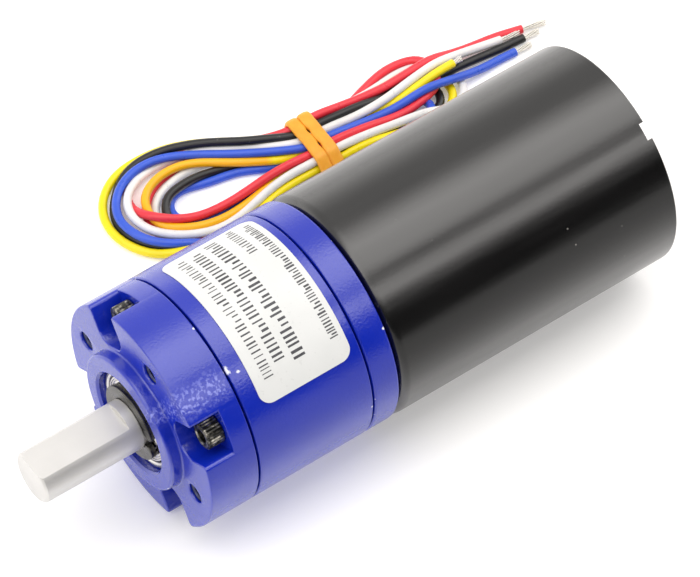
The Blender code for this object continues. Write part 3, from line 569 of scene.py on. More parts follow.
def combined(mesh, others, operation):
    """The mesh with the other solids joined to it or cut from it."""
    target = bpy.data.objects.new("target", mesh)
    bpy.context.scene.collection.objects.link(target)
    helpers = []
    for other in others:
        helper = bpy.data.objects.new("helper", other)
        bpy.context.scene.collection.objects.link(helper)
        helpers.append(helper)
        step = target.modifiers.new("step", "BOOLEAN")
        step.operation = operation
        step.solver = "EXACT"
        step.object = helper
    bpy.context.view_layer.update()
    made = bpy.data.meshes.new_from_object(target.evaluated_get(bpy.context.evaluated_depsgraph_get()))
    for helper in [target] + helpers:
        bpy.data.objects.remove(helper)
    return made


def piece(name, mesh, body, slot, material, *nodes):
    """A visible piece that rides on a body and stands for the CAD nodes that are named."""
    mesh.name = name
    made = bpy.data.objects.new(name, mesh)
    bpy.context.scene.collection.objects.link(made)
    mesh.materials.clear()
    mesh.materials.append(material)
    mesh.shade_smooth()
    mesh.set_sharp_from_angle(angle=math.radians(35))
    weigh = made.modifiers.new("normals", "WEIGHTED_NORMAL")
    weigh.keep_sharp = True
    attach(made, body)
    if nodes:
        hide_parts(*nodes)
    return made


# ---------------------------------------------------------------- front housing

BODY_RADIUS = 18.0
BOSS_RADIUS = 11.0
NOTCH_ANGLES = (31.5, 121.5, 211.5, 301.5)
HOLE_ANGLES = (76.5, 166.5, 256.5, 346.5)
NOTCH_DEPTH = 4.9
HOUSING_LENGTH = 8.2
SCREW_CIRCLE = 14.9
SCREW_HOLE = 1.35
MOUNTING_CIRCLE = 14.0
MOTOR_SCREW_CIRCLE = 10.0
MOTOR_SCREW_ANGLES = (0, 180)
BORE = 8.05


def lobe_outline():
    """The lobed plate: arcs of the rim with round corners, and four notches with round inner corners."""
    half, inner, corner = 3.2, 11.5, 2.4
    rim_corner = 0.6
    across = half + rim_corner
    out = math.sqrt((BODY_RADIUS - rim_corner) ** 2 - across**2)
    lean = math.degrees(math.atan2(across, out))
    outline = []
    for angle in NOTCH_ANGLES:
        notch = arc(rim_corner, -lean, 90, 5, (out, -across))
        notch += arc(corner, 270, 180, 10, (inner + corner, -(half - corner)))
        notch += arc(corner, 180, 90, 10, (inner + corner, half - corner))
        notch += arc(rim_corner, 270, 360 + lean, 5, (out, across))
        outline += turn_outline(notch, angle)
        outline += arc(BODY_RADIUS, angle + lean, angle + 90 - lean, 36)[1:-1]
    return outline


def front_housing():
    holes = holes_at(HOLE_ANGLES, MOUNTING_CIRCLE, 1.5, 32)
    edge = 0.28
    lobes = plate([lobe_outline(), circle(9.5, ROUND)] + holes, (0.0, -HOUSING_LENGTH), edge)
    rear_holes = holes_at(NOTCH_ANGLES, SCREW_CIRCLE, SCREW_HOLE, 32)
    disc = plate(
        [circle(BODY_RADIUS - 0.02, 4 * ROUND // 3), circle(9.4, ROUND)] + rear_holes,
        (-NOTCH_DEPTH, -HOUSING_LENGTH + 0.04), 0.2,
    )
    boss = [(BOSS_HEIGHT, BORE + 0.35), (BOSS_HEIGHT, BOSS_RADIUS - 0.45)]
    boss += arc(0.45, 0, 90, 4, (BOSS_HEIGHT - 0.45, BOSS_RADIUS - 0.45))[1:]
    boss += arc(0.3, 270, 180, 4, (0.3, BOSS_RADIUS + 0.3))
    boss += [(-0.4, BOSS_RADIUS + 0.3), (-8.0, 12.0), (-8.0, 12.2), (-10.0, 12.2), (-10.0, BORE)]
    boss += [(-4.4, BORE), (-4.4, 6.6), (-3.4, 6.6), (-3.4, BORE), (BOSS_HEIGHT - 0.35, BORE)]
    shell = combined(lobes, [disc, turned(boss)], "UNION")
    piece("gearbox_front", shell, "housing", "blue_paint", BLUE, "front_housing")


def hole_threads():
    """The tapped holes' threads."""
    pitch, root, crest = 0.5, 1.49, 1.24
    rings = []
    for angle in HOLE_ANGLES:
        centre = polar(MOUNTING_CIRCLE, angle)
        profile = [(-0.45, root + 0.1), (-0.45, root)]
        for turn in range(9):
            start = -0.5 - turn * pitch
            profile += [(start - 0.03, root), (start - pitch / 2, crest)]
        profile += [(-5.0, root), (-5.1, root), (-5.1, root + 0.1)]
        rings.append(turned(profile, 32, centre))
        rings.append(turned([(-4.6, 0), (-4.6, root), (-5.0, root), (-5.0, 0)], 32, centre))
    piece("mounting_hole_threads", joined(rings), "housing", "blue_paint", THREAD)


def fluted(radius, flutes, depth):
    outline = []
    for flute in range(flutes):
        start = 360.0 * flute / flutes
        for share, drop in ((0.0, 0.0), (0.42, 0.0), (0.56, 0.6), (0.71, 1.0), (0.86, 0.6)):
            outline.append(polar(radius - depth * drop, start + share * 360.0 / flutes))
    return outline


def cap_screw(centre, head_radius, shank_radius, head, end, socket, flutes):
    """A knurled cap screw with a hexagon socket."""
    top, seat = head
    hexagon = [polar(socket, 15 + 60 * i) for i in range(6)]
    rim = plate([fluted(head_radius - 0.04, flutes, 0.16), hexagon], (top - 0.12, seat), 0.05)
    crown = [(top - 0.2, head_radius - 0.14), (top, head_radius - 0.4), (top, socket + 0.32)]
    crown += [(top - 0.22, socket + 0.04), (top - 0.4, socket + 0.04), (top - 0.4, head_radius - 0.14)]
    body = turned([(top - 1.4, 0), (top - 1.4, socket + 0.15), (seat, socket + 0.15), (seat, 0)], 32)
    shank = [(seat + 0.1, 0), (seat + 0.1, shank_radius), (end + 0.2, shank_radius)]
    shank += [(end, shank_radius - 0.25), (end, 0)]
    mesh = joined([rim, turned(crown, 64), body, turned(shank, 32)])
    mesh.transform(Matrix.Translation((0, centre[0] * MM, centre[1] * MM)))
    return mesh


def housing_screws():
    for number, angle in enumerate(NOTCH_ANGLES, 1):
        mesh = cap_screw(polar(SCREW_CIRCLE, angle), 2.15, 1.2, (-2.1, -4.75), -31.4, 1.12, 26)
        name = f"housing_screw_{number}"
        piece(f"socket_screw_{number}", mesh, "housing", "black_steel", OXIDE, name)


# ---------------------------------------------------------------- shaft, circlip and bearing

def output_shaft():
    tip = (TIP_X - FACE_X) / MM
    profile = [(tip, 0), (tip, 3.55), (tip - 0.12, 3.75), (tip - 0.4, 4.0), (1.95, 4.0), (1.95, 3.75)]
    profile += [(0.85, 3.75), (0.85, 4.0), (-8.5, 4.0), (-8.5, 5.1), (-10.7, 5.1), (-10.7, 4.5)]
    profile += [(-14.6, 4.5), (-14.6, 0)]
    flat_height, flat_angle, beyond = 3.0, 88.0, 6.0
    slab = [(flat_height, -beyond), (beyond, -beyond), (beyond, beyond), (flat_height, beyond)]
    cutter = plate([turn_outline(slab, flat_angle)], (tip + beyond, tip - 15.0))
    mesh = combined(turned(profile, 128), [cutter], "DIFFERENCE")
    made = piece("d_shaft", mesh, "output", "shaft_steel", SHAFT, "output_shaft")
    ease = made.modifiers.new("eased_edges", "BEVEL")
    ease.width = 0.07 * MM
    ease.segments = 2
    ease.limit_method = "ANGLE"
    ease.angle_limit = math.radians(35)
    ease.use_clamp_overlap = True
    made.modifiers.move(1, 0)


def output_circlip():
    gap_middle, gap, outer, inner = 2.0, 46.0, 6.0, 3.85
    start, end = gap_middle + gap / 2, gap_middle + 360 - gap / 2
    nose = (outer - inner) / 2
    middle = (outer + inner) / 2
    outline = arc(outer, start, end, 90)
    outline += arc(nose, end, end + 180, 8, polar(middle, end))[1:-1]
    outline += arc(inner, end, start, 90)
    outline += arc(nose, start + 180, start + 360, 8, polar(middle, start))[1:-1]
    mesh = plate([outline], (1.85, 0.95), 0.1)
    piece("shaft_circlip", mesh, "output", "black_steel", SPRING, "output_circlip")


def ring_profile(inner, outer, front, back, edge):
    """A bearing ring's section with eased corners."""
    return [
        (front, inner + edge), (front, outer - edge), (front - edge * 0.4, outer - edge * 0.4),
        (front - edge, outer), (back + edge, outer), (back, outer - edge), (back, inner + edge),
        (back + edge, inner), (front - edge, inner), (front - edge * 0.4, inner + edge * 0.4),
    ]


def front_bearing():
    front, back = 0.8, -3.2
    outer = turned(ring_profile(6.95, 8.0, front, back, 0.3))
    piece("bearing_outer_race", outer, "housing", "bearing_steel", RACE, "front_bearing_outer_ring")
    inner = turned(ring_profile(4.05, 5.2, front, back, 0.18))
    piece("bearing_inner_race", inner, "output", "bearing_steel", RACE, "front_bearing_inner_ring")
    shield = [
        (0.62, 6.86), (0.66, 6.72), (0.62, 6.6), (0.46, 6.52), (0.44, 6.3), (0.58, 6.22), (0.62, 6.1),
        (0.62, 5.7), (0.54, 5.6), (0.5, 5.36), (0.36, 5.36), (0.36, 6.86),
    ]
    piece("bearing_shield", turned(shield), "housing", "bearing_steel", RACE, "front_bearing_shield")


# ---------------------------------------------------------------- ring gear housing, adapter and label

def eased_drum(inner, front, back, radius=BODY_RADIUS, edge=0.28):
    profile = [(front, inner), (front, radius - edge)]
    profile += arc(edge, 0, 90, 4, (front - edge, radius - edge))[1:]
    profile += arc(edge, 90, 180, 4, (back + edge, radius - edge))
    return profile + [(back, inner)]


def involute_gear(teeth, module, root, tip, thinning, first):
    """A toothed outline, with five points on each flank."""
    slope = math.radians(20)
    pitch = module * teeth / 2
    base = pitch * math.cos(slope)
    widest = math.pi / (2 * teeth) + math.tan(slope) - slope
    outline = []
    for tooth in range(teeth):
        middle = first + tooth * 360.0 / teeth
        flank = []
        for step in range(5):
            radius = root + (tip - root) * step / 4
            lean = math.acos(min(1.0, base / radius))
            half = math.degrees(widest - (math.tan(lean) - lean) - thinning / pitch)
            flank.append((radius, half))
        outline += [polar(radius, middle - half) for radius, half in flank]
        outline += [polar(radius, middle + half) for radius, half in reversed(flank)]
    return outline


def ring_gear_housing():
    module, teeth = 0.45, 57
    pitch = module * teeth / 2
    hole = involute_gear(teeth, module, pitch - module, pitch + 1.25 * module, -0.06, 90 + 180.0 / teeth)
    holes = holes_at(NOTCH_ANGLES, SCREW_CIRCLE, SCREW_HOLE, 24)
    core = plate([circle(16.9, ROUND), hole] + holes, (-8.5, -28.15))
    drum = turned(eased_drum(16.7, -8.5, -28.15))
    piece("gearbox_barrel", joined([core, drum]), "housing", "blue_paint", BLUE, "ring_gear_housing")


def adapter_plate():
    """A slice with the motor screws' holes, one with their counterbores, and the drum round both."""
    shapes = []
    for hole, count, span in ((1.65, 24, (-30.3, -32.8)), (3.0, 32, (-28.45, -30.3))):
        outlines = [circle(16.9, ROUND)] + holes_at(NOTCH_ANGLES, SCREW_CIRCLE, SCREW_HOLE, 24)
        outlines += holes_at(MOTOR_SCREW_ANGLES, MOTOR_SCREW_CIRCLE, hole, count) + [circle(6.2, 64)]
        shapes.append(plate(outlines, span))
    shapes.append(turned(eased_drum(16.7, -28.45, -32.8, edge=0.4)))
    piece("gearbox_adapter", joined(shapes), "housing", "blue_paint", BLUE, "motor_adapter_plate")


LABEL_X = (-11.2, -26.7)
LABEL_ANGLES = (33.8, 127.5)
LABEL_RADIUS = 18.06


def wrapped(corners, radius, thickness):
    """A thin patch on the barrel between two angles, whose front and back edges may vary along it."""
    work = bmesh.new()
    rows = []
    for share, front, back in corners:
        ring = []
        for r in (radius, radius + thickness):
            for x in (front, back):
                ring.append(work.verts.new(around(x, r, share)))
        rows.append(ring)
    for a, b in zip(rows, rows[1:]):
        for i, j in ((0, 1), (1, 3), (3, 2), (2, 0)):
            work.faces.new((a[i], a[j], b[j], b[i]))
    for end in (rows[0], rows[-1]):
        work.faces.new((end[0], end[1], end[3], end[2]))
    return finish_mesh(work)


def product_label():
    front, back = LABEL_X
    start, end = LABEL_ANGLES
    corner, count = 1.9, 8
    per_degree = math.radians(1.0) * LABEL_RADIUS
    stations = [corner * (1 - math.cos(math.radians(90 * i / count))) for i in range(count + 1)]
    length = (end - start) * per_degree
    alongs = stations + [corner + (length - 2 * corner) * i / 60 for i in range(1, 60)]
    alongs += [length - along for along in reversed(stations)]
    rows = []
    for along in alongs:
        from_end = min(along, length - along, corner)
        cut_back = corner - math.sqrt(max(0.0, corner**2 - (corner - from_end) ** 2))
        rows.append((start + along / per_degree, front - cut_back, back + cut_back))
    mesh = wrapped(rows, LABEL_RADIUS - 0.03, 0.12)
    piece("barrel_label", mesh, "housing", "label_paper", PAPER, "product_label")


# Rows of plain marks where the label's print goes: front and back x, first and last angle, the widths of a
# mark and of a gap in mm, and how tall a share of the row the marks fill.
PRINT_ROWS = (
    (-12.95, -14.5, 45, 122, (0.12, 0.3), (0.3, 0.75)),
    (-15.4, -17.15, 49.5, 119.5, (0.22, 0.42), (0.32, 0.6)),
    (-18.25, -20.15, 46, 122, (0.24, 0.46), (0.3, 0.6)),
    (-21.9, -23.3, 101, 124, (0.16, 0.3), (0.3, 0.5)),
    (-24.45, -25.8, 46, 121, (0.16, 0.32), (0.16, 0.4)),
)


def label_print():
    """Rows of plain upright bars, like a printed code, with no lettering."""
    chance = random.Random(7)
    marks = []
    per_degree = math.radians(1.0) * LABEL_RADIUS
    for front, back, start, end, widths, gaps in PRINT_ROWS:
        angle = start
        while angle < end:
            width = chance.uniform(*widths) / per_degree
            drop = chance.choice((0.0, 0.0, 0.0, 0.35)) * (front - back)
            rows = [(angle + width * i / 2, front - drop, back) for i in range(3)]
            marks.append(wrapped(rows, LABEL_RADIUS + 0.08, 0.02))
            angle += width + chance.uniform(*gaps) / per_degree
    piece("label_marks", joined(marks), "housing", "label_paper", INK)


# ---------------------------------------------------------------- motor

def motor_can():
    front, shoulder, wall = -33.1, 1.7, 0.9
    rear = (REAR_X - FACE_X) / MM
    inside = BODY_RADIUS - wall
    profile = [(-31.2, 2.6), (-31.2, 5.9), (front, 5.9)]
    profile += arc(shoulder, 0, 90, 10, (front - shoulder, BODY_RADIUS - shoulder))
    profile += arc(0.25, 90, 180, 3, (rear + 0.25, BODY_RADIUS - 0.25))
    profile += arc(0.2, 180, 270, 3, (rear + 0.2, inside + 0.2))
    profile += [(front - 1.2, inside), (front - 1.2, 6.2), (-36.4, 6.2), (-36.4, 4.8)]
    profile += [(-32.3, 4.8), (-32.3, 2.6)]
    shell = turned(profile, 192)
    cutters = []
    for angle in (57.0, 237.0):
        outline = turn_outline([(15, -1.35), (20, -1.35), (20, 1.35), (15, 1.35)], angle)
        cutters.append(plate([outline], (rear + 0.9, rear - 1.0)))
    holes = holes_at(MOTOR_SCREW_ANGLES, MOTOR_SCREW_CIRCLE, 1.6, 32)
    cutters += [plate([hole], (front + 1, front - 2.2)) for hole in holes]
    shell = combined(shell, cutters, "DIFFERENCE")
    piece("motor_housing", shell, "housing", "black_paint", BLACK, "motor_can")


def slot_outline(half_width, half_height, count=8):
    """A round-ended slot where the leads pass the end cap."""
    y, z = LEAD_EXIT_Y, LEAD_EXIT_Z - AXIS_Z / MM
    reach = half_width - half_height
    outline = arc(half_height, -90, 90, count, (y + reach, z))
    return outline + arc(half_height, 90, 270, count, (y - reach, z))


def rear_end_cap():
    front, back, outer = -80.4, -83.2, 16.95
    cap = plate([circle(outer, ROUND), slot_outline(5.5, 2.2), circle(5.0, 64)], (front, back), 0.3)
    hub = [(-77.2, 4.8), (-77.2, 6.4), (-80.6, 6.4), (-80.6, 5.6), (back + 0.25, 5.6), (back, 5.35)]
    hub += [(back, 4.1), (back + 0.25, 3.9), (back + 0.25, 0), (-81.2, 0), (-81.2, 4.8)]
    ridge = [(back + 0.4, 12.6), (back + 0.4, 13.6), (back + 0.05, 13.45), (back, 13.3), (back, 12.9)]
    ridge += [(back + 0.05, 12.75)]
    mesh = joined([cap, turned(hub, 96), turned([(x - 0.12, r) for x, r in ridge])])
    piece("motor_end_cap", mesh, "housing", "black_plastic", PLASTIC, "rear_end_cap")


def wire_grommet():
    sleeve = plate([slot_outline(5.35, 2.05), slot_outline(4.55, 1.05)], (-80.0, -83.45), 0.2)
    piece("lead_grommet", sleeve, "housing", "rubber", RUBBER, "wire_grommet")


# ---------------------------------------------------------------- leads

# These repeat the CAD leads' route, in millimetres: from the board out of the end cap, back beside the can
# and forward on the floor to the hank's side.
COLOURS = ("yellow", "black", "blue", "white", "red")
REAR = -51.0
LEAD_EXIT_Y, LEAD_EXIT_Z, LEAD_PITCH = -6.0, 8.0, 1.75
RETURN_X = (-57.0, -58.7, -60.4, -62.1, -63.8)
RUN_Y = (-21.0, -22.7, -24.4, -26.1, -27.8)
TURN_X = (-43.5, -44.2, -44.9, -45.6, -46.3)
HANK_SIDE_Y = -31.5
LEAD_FLOOR = 0.85

# Each lead goes through the band four times. These are its places there, as (y, z) in millimetres: into the
# inner loop, out of it to the turn behind the can, back into the outer loop, and out of that to its bare end.
BAND_X = (-26.8, -23.0)
BAND_PLACES = {
    "yellow": ((-36.1, 1.95), (-37.5, 1.95), (-33.3, 1.95), (-41.0, 0.7)),
    "black": ((-35.4, 0.7), (-38.9, 1.95), (-32.6, 0.7), (-39.6, 3.2)),
    "blue": ((-36.8, 0.7), (-38.2, 0.7), (-31.2, 0.7), (-36.8, 3.2)),
    "white": ((-34.7, 1.95), (-40.3, 1.95), (-34.0, 3.2), (-38.2, 3.2)),
    "red": ((-34.0, 0.7), (-39.6, 0.7), (-35.4, 3.2), (-41.0, 3.2)),
}

# Where two leads step over the red one on their way into the band.
OVER_RED = {"black": (-31.0, -33.4, 2.1), "blue": (-33.6, -33.8, 2.1)}

# The strands' places seen along the camera's line of sight at a height of 2 mm, and their height where they
# don't rest on the floor, in millimetres: an inner loop, a turn behind the can, an outer loop and a bare end
# for each lead.
STRANDS = {
    "yellow": (
        ((-17, -35.6, 1.95), (-13.6, -34.7, 1.95), (-10.6, -33.9, 1.95), (-6.5, -33.4, 1.95),
         (-3.5, -33.7, 2.0), (-0.4, -34.7, 2.0), (2.1, -36.3, 1.95), (3.8, -38.2, 1.9), (4.5, -40.6, 1.85),
         (4.0, -43.0, 1.9), (2.3, -44.9, 1.95), (-0.8, -46.2, 2.0), (-4.4, -46.4, 2.0), (-7.9, -45.2, 2.05),
         (-11.4, -42.8, 2.05), (-15.5, -40.2, 2.0), (-19, -38.0, 1.95)),
        ((-32, -38.2, 1.6), (-38, -39.8, 0.9), (-43.4, -40.3), (-47.4, -39.4), (-49.7, -37.0),
         (-49.8, -34.2), (-47.8, -31.9), (-44.4, -31.0, 1.0), (-40, -30.9, 1.8), (-36, -31.6, 2.2),
         (-32.9, -32.6, 2.1), (-29.8, -33.4, 2.0)),
        ((-19.5, -33.4, 1.95), (-16.7, -33.3, 1.95), (-13.4, -32.9, 1.95), (-10, -31.7, 2.0),
         (-5, -30.4, 2.0), (0, -30.8, 2.0), (4.8, -32.6, 1.2), (7.9, -34.6), (9.9, -38), (10.5, -41.8),
         (9.6, -45.4), (7.4, -48.2), (4.4, -49.9), (0.4, -50.5), (-4.0, -50.1), (-8, -48.9), (-11.5, -47.2),
         (-16, -43.8), (-19, -41.8)),
        ((-31.0, -39.8, 1.9), (-36, -37.8, 2.3), (-40, -37.4, 2.8), (-44, -37.7, 3.1), (-48, -37.9, 3.1),
         (-51.8, -38.0, 3.0)),
    ),
    "black": (
        ((-17, -34.2), (-11, -33.8), (-5, -33.3), (-1, -34.2), (2.7, -35.4), (4.2, -37.8, 0.9),
         (3.7, -40.4, 1.4), (1.6, -42.2, 1.8), (-1.0, -42.7, 1.9), (-3.7, -42.8, 1.9), (-6.1, -42.8, 1.9),
         (-8.9, -42.2, 1.5), (-11.8, -41.3, 0.9), (-15.5, -39.5, 0.9), (-19, -38.4, 1.5)),
        ((-32, -39.2, 1.6), (-37, -38.9, 0.8), (-41.6, -38.9), (-45.6, -38.9), (-48.4, -37.2),
         (-48.8, -34.3), (-46.4, -32.2, 0.8), (-42, -32.3, 1.2), (-38, -32.4, 1.5), (-34, -32.0, 1.4),
         (-30.5, -31.9, 1.0)),
        ((-17, -31.4), (-11, -30.0), (-5, -29.2), (0, -30.9), (4.2, -33.4), (7.2, -36.1), (8.9, -39.3),
         (9.1, -42.3), (7.7, -45.0), (5.4, -47.4), (2.2, -49.2, 0.9), (-1.9, -49.9, 1.6),
         (-5.7, -49.7, 2.4), (-8.8, -48.5, 2.8), (-13.2, -46.1, 3.3), (-17.6, -43.5, 3.4),
         (-20.4, -42.0, 3.3)),
        ((-32, -39.4, 3.1), (-37, -38.8, 2.6), (-42, -38.2, 2.0), (-47, -37.6, 1.8), (-51.5, -37.3, 1.8),
         (-56, -37.3, 1.6), (-60, -37.0, 1.4), (-64.6, -36.5, 1.2)),
    ),
    "blue": (
        ((-17, -35.6), (-11, -35.1), (-6.2, -34.5), (-2.2, -33.8), (1.3, -35.2), (2.9, -38.0), (2.0, -40.8),
         (-0.6, -42.2), (-3.4, -42.1), (-6.7, -41.2), (-9.6, -40.9), (-12.5, -40.2), (-15.3, -38.8),
         (-18, -37.5)),
        ((-32, -37.8, 0.8), (-36.5, -38.6), (-40.7, -38.9), (-43.8, -37.6), (-45.2, -34.7),
         (-43.9, -31.9, 1.3), (-40.6, -30.7, 2.2), (-36.5, -30.1, 1.9), (-31, -30.3, 1.0)),
        ((-17, -30.0), (-11, -28.6), (-5, -28.2, 0.9), (-1.6, -30.2, 1.6), (2.0, -32.7, 2.1),
         (5.2, -34.9, 2.1), (7.3, -37.5, 2.1), (8.3, -40.6, 2.1), (8.2, -43.4, 2.1), (6.6, -46.3, 2.3),
         (4.0, -48.6, 2.5), (0.6, -49.9, 2.9), (-2.8, -50.0, 3.1), (-6.2, -48.8, 3.3), (-9.4, -46.7, 3.3),
         (-12.6, -44.1, 3.2), (-16.4, -41.4, 3.2), (-20, -39.4, 3.2)),
        ((-31.5, -36.6, 3.3), (-36, -36.2, 3.3), (-40.5, -36.0, 3.2), (-45.1, -36.1, 2.9),
         (-49.7, -35.7, 2.5), (-54.2, -35.2, 1.9), (-58.9, -35.0, 1.3), (-61.7, -34.7, 1.1)),
    ),
    "white": (
        ((-17, -34.3, 1.9), (-14, -33.6, 1.3), (-11, -32.6), (-5, -31.9), (-0.2, -32.9), (3.0, -35.6),
         (4.0, -38.6), (3.2, -41.0), (1.2, -43.0), (-1.8, -44.2), (-5.4, -44.8), (-8.4, -44.6),
         (-11.4, -43.6), (-15.5, -41.2, 0.9), (-19, -40.2, 1.5)),
        ((-32, -40.3, 1.4), (-40, -41.2), (-45.6, -41.7), (-49.4, -40.3), (-51.3, -37.2), (-51.1, -33.8),
         (-48.6, -31.4, 0.9), (-44.6, -30.6, 1.4), (-41.4, -31.2, 2.0), (-37.7, -32.2, 2.5),
         (-33.2, -33.2, 3.0), (-30, -34.0, 3.1)),
        ((-17.7, -34.8, 3.1), (-14.3, -34.3, 3.0), (-11.0, -33.7, 2.8), (-7.6, -33.1, 2.4),
         (-3.4, -32.8, 2.1), (0.3, -33.9, 2.1), (3.4, -36.0, 2.1), (5.5, -38.9, 2.4), (6.3, -42, 2.8),
         (5.7, -44.9, 2.6), (3.8, -47.2, 2.0), (0.8, -48.7, 1.6), (-2.6, -49.0, 1.3), (-6, -48.4, 1.2),
         (-9, -47.3, 1.7), (-12.2, -45.5, 2.1), (-17.2, -42.3, 2.2), (-20, -40.4, 2.9)),
        ((-32.8, -38.5, 3.5), (-38, -38.5, 3.5), (-44.4, -39.3, 3.4), (-49.6, -39.7, 3.2),
         (-53.6, -39.5, 2.8), (-57.4, -39.0, 2.4), (-61.4, -38.2, 2.0)),
    ),
    "red": (
        ((-17, -32.8), (-11, -31.2), (-5, -30.4), (0.8, -31.6), (4.2, -34.6), (5.2, -38.4), (4.2, -41.6),
         (2.0, -44.2), (-1.2, -45.7), (-5, -46.2), (-8.4, -45.9), (-11.4, -45.0), (-16, -42.2),
         (-19, -40.2)),
        ((-31.5, -40.0, 0.9), (-35, -40.8, 0.9), (-38.3, -42.0, 0.8), (-41.7, -43.0), (-45.2, -43.0),
         (-48.2, -42.0, 1.1), (-50.1, -40.1, 1.8), (-50.6, -37.9, 2.1), (-49.5, -36.1, 2.1),
         (-47.0, -35.1, 2.2), (-43.7, -34.7, 2.4), (-40.2, -34.6, 2.8), (-35.8, -34.8, 3.1),
         (-31.5, -35.5, 3.2)),
        ((-19.0, -36.4, 3.2), (-15.8, -36.2, 3.2), (-12.8, -36.1, 3.15), (-9.5, -36.0, 3.0),
         (-6.4, -36.0, 2.8), (-3.4, -36.2, 2.7), (-0.7, -36.8, 2.8), (1.5, -37.8, 3.1), (3.1, -39.1, 3.4),
         (4.4, -40.8, 3.2), (5.3, -42.6, 2.2), (5.6, -44.6, 1.1), (4.9, -46.6), (3.0, -48.4), (0.4, -49.5),
         (-3, -49.7, 0.8), (-6.6, -49.0, 1.4), (-11.9, -46.8, 2.1), (-17.6, -44.0, 2.5), (-20, -42.9, 2.9)),
        ((-32, -40.9, 2.9), (-38.5, -40.4, 2.9), (-44, -40.5, 2.6), (-49.6, -40.3, 1.9), (-54, -39.8, 1.3),
         (-58.2, -39.3, 1.0), (-61.8, -38.7, 1.0), (-65.4, -37.8, 1.0)),
    ),
}
LEAD_REST = 0.7
# How far a place moves in x and y for each millimetre up the line of sight, from this height on.
SIGHT_X, SIGHT_Y, SIGHT_HEIGHT = 0.45, 0.63, 2.0
# The spacing of a lead's points, and the distance that the centrelines of two leads keep.
STEP = 1.0
CLEARANCE = 1.44
# A reach in points each way, and the least bend radius as seen over it.
BEND_STEPS = ((1, 4.4), (2, 5.0), (3, 5.6))
# How many of a lead's first points keep their place, and over how many more it comes loose.
LED_IN, LOOSENING = 26, 12.0
# Each turn of the band from front to back, and the places across it where the turns part a little.
BAND_TURNS = ((-22.2, -24.4), (-24.3, -26.5))
BAND_SLITS = (-38.8, -35.4)


def along_sight(place):
    """A strand's place in the row's frame, set back along the line of sight by its height."""
    x, y, z = place if len(place) == 3 else (*place, LEAD_REST)
    return (x + SIGHT_X * (z - SIGHT_HEIGHT), y + SIGHT_Y * (z - SIGHT_HEIGHT), z)


def lead_route(number):
    """The CAD lead's own points."""
    exit_y = LEAD_EXIT_Y + (number - 2) * LEAD_PITCH
    back, run, turn = RETURN_X[number], RUN_Y[number], TURN_X[number]
    middle = (exit_y + run) / 2
    corner = 3.0
    end = turn - (HANK_SIDE_Y - run)
    return [
        (REAR + 5.9, exit_y, LEAD_EXIT_Z),
        (REAR - 1.0, exit_y, LEAD_EXIT_Z),
        ((REAR - 1.0 + back) / 2, (exit_y * 3 + middle) / 4, LEAD_EXIT_Z * 0.85),
        (back, middle, LEAD_EXIT_Z * 0.5),
        ((REAR - 1.0 + back) / 2, (run * 3 + middle) / 4, LEAD_EXIT_Z * 0.2),
        (REAR + 1.0, run, LEAD_FLOOR),
        (turn - corner * 0.5, run, LEAD_FLOOR),
        (turn + corner * 0.7, run - corner * 0.4, LEAD_FLOOR),
        (end, HANK_SIDE_Y, LEAD_FLOOR),
    ]


def smooth_line(points, spacing):
    """Points about evenly spaced along a smooth curve through the given ones."""
    points = [Vector(point) for point in points]
    line = []
    for i in range(len(points) - 1):
        p1, p2 = points[i], points[i + 1]
        p0 = points[i - 1] if i > 0 else 2 * p1 - p2
        p3 = points[i + 2] if i + 2 < len(points) else 2 * p2 - p1
        # Centripetal spacing keeps the curve from swinging wide between places far apart.
        t0, t1 = 0.0, max((p1 - p0).length, 1e-6) ** 0.5
        t2 = t1 + max((p2 - p1).length, 1e-6) ** 0.5
        t3 = t2 + max((p3 - p2).length, 1e-6) ** 0.5
        pieces = max(1, round((p2 - p1).length / spacing))
        for step in range(pieces):
            t = t1 + (t2 - t1) * step / pieces
            a1 = p0 * ((t1 - t) / (t1 - t0)) + p1 * ((t - t0) / (t1 - t0))
            a2 = p1 * ((t2 - t) / (t2 - t1)) + p2 * ((t - t1) / (t2 - t1))
            a3 = p2 * ((t3 - t) / (t3 - t2)) + p3 * ((t - t2) / (t3 - t2))
            b1 = a1 * ((t2 - t) / (t2 - t0)) + a2 * ((t - t0) / (t2 - t0))
            b2 = a2 * ((t3 - t) / (t3 - t1)) + a3 * ((t - t1) / (t3 - t1))
            line.append(b1 * ((t2 - t) / (t2 - t1)) + b2 * ((t - t1) / (t2 - t1)))
    return line + [points[-1]]


def lead_line(number):
    colour = COLOURS[number]
    inner, turn, outer, free = ([along_sight(p) for p in strand] for strand in STRANDS[colour])
    into_inner, out_of_inner, into_outer, out_of_outer = BAND_PLACES[colour]
    right, left = BAND_X
    points = lead_route(number)
    if colour in OVER_RED:
        points.append(OVER_RED[colour])
    points += [(right, *into_inner), (left, *into_inner), *inner]
    points += [(left, *out_of_inner), (right, *out_of_inner), *turn]
    points += [(right, *into_outer), (left, *into_outer), *outer]
    points += [(left, *out_of_outer), (right, *out_of_outer), *free]
    return smooth_line(points, STEP)


def close_pairs(place, owner, reach):
    """Pairs of points on different strands that are within reach of each other."""
    apart = place[:, None, :] - place[None, :, :]
    near = np.triu((apart**2).sum(axis=2) < reach**2, 1)
    first, second = np.nonzero(near)
    keep = (owner[first] != owner[second]) | (second - first > 5)
    return first[keep], second[keep]


def eased_bends(place, same, held, reach, least):
    """Opens any bend tighter than the least radius, in mm, as seen over a reach of points each way."""
    allowed = (reach * STEP) ** 2 / (2 * least)
    inner = np.arange(reach, len(place) - reach)
    inner = inner[same[inner - reach] == same[inner + reach]]
    middle = (place[inner - reach] + place[inner + reach]) / 2
    lean = middle - place[inner]
    size = np.sqrt((lean**2).sum(axis=1)) + 1e-9
    share = np.clip((size - allowed) / size, 0, 1) * 0.5
    moved = place.copy()
    moved[inner] += lean * (share * held[inner])[:, None]
    return moved


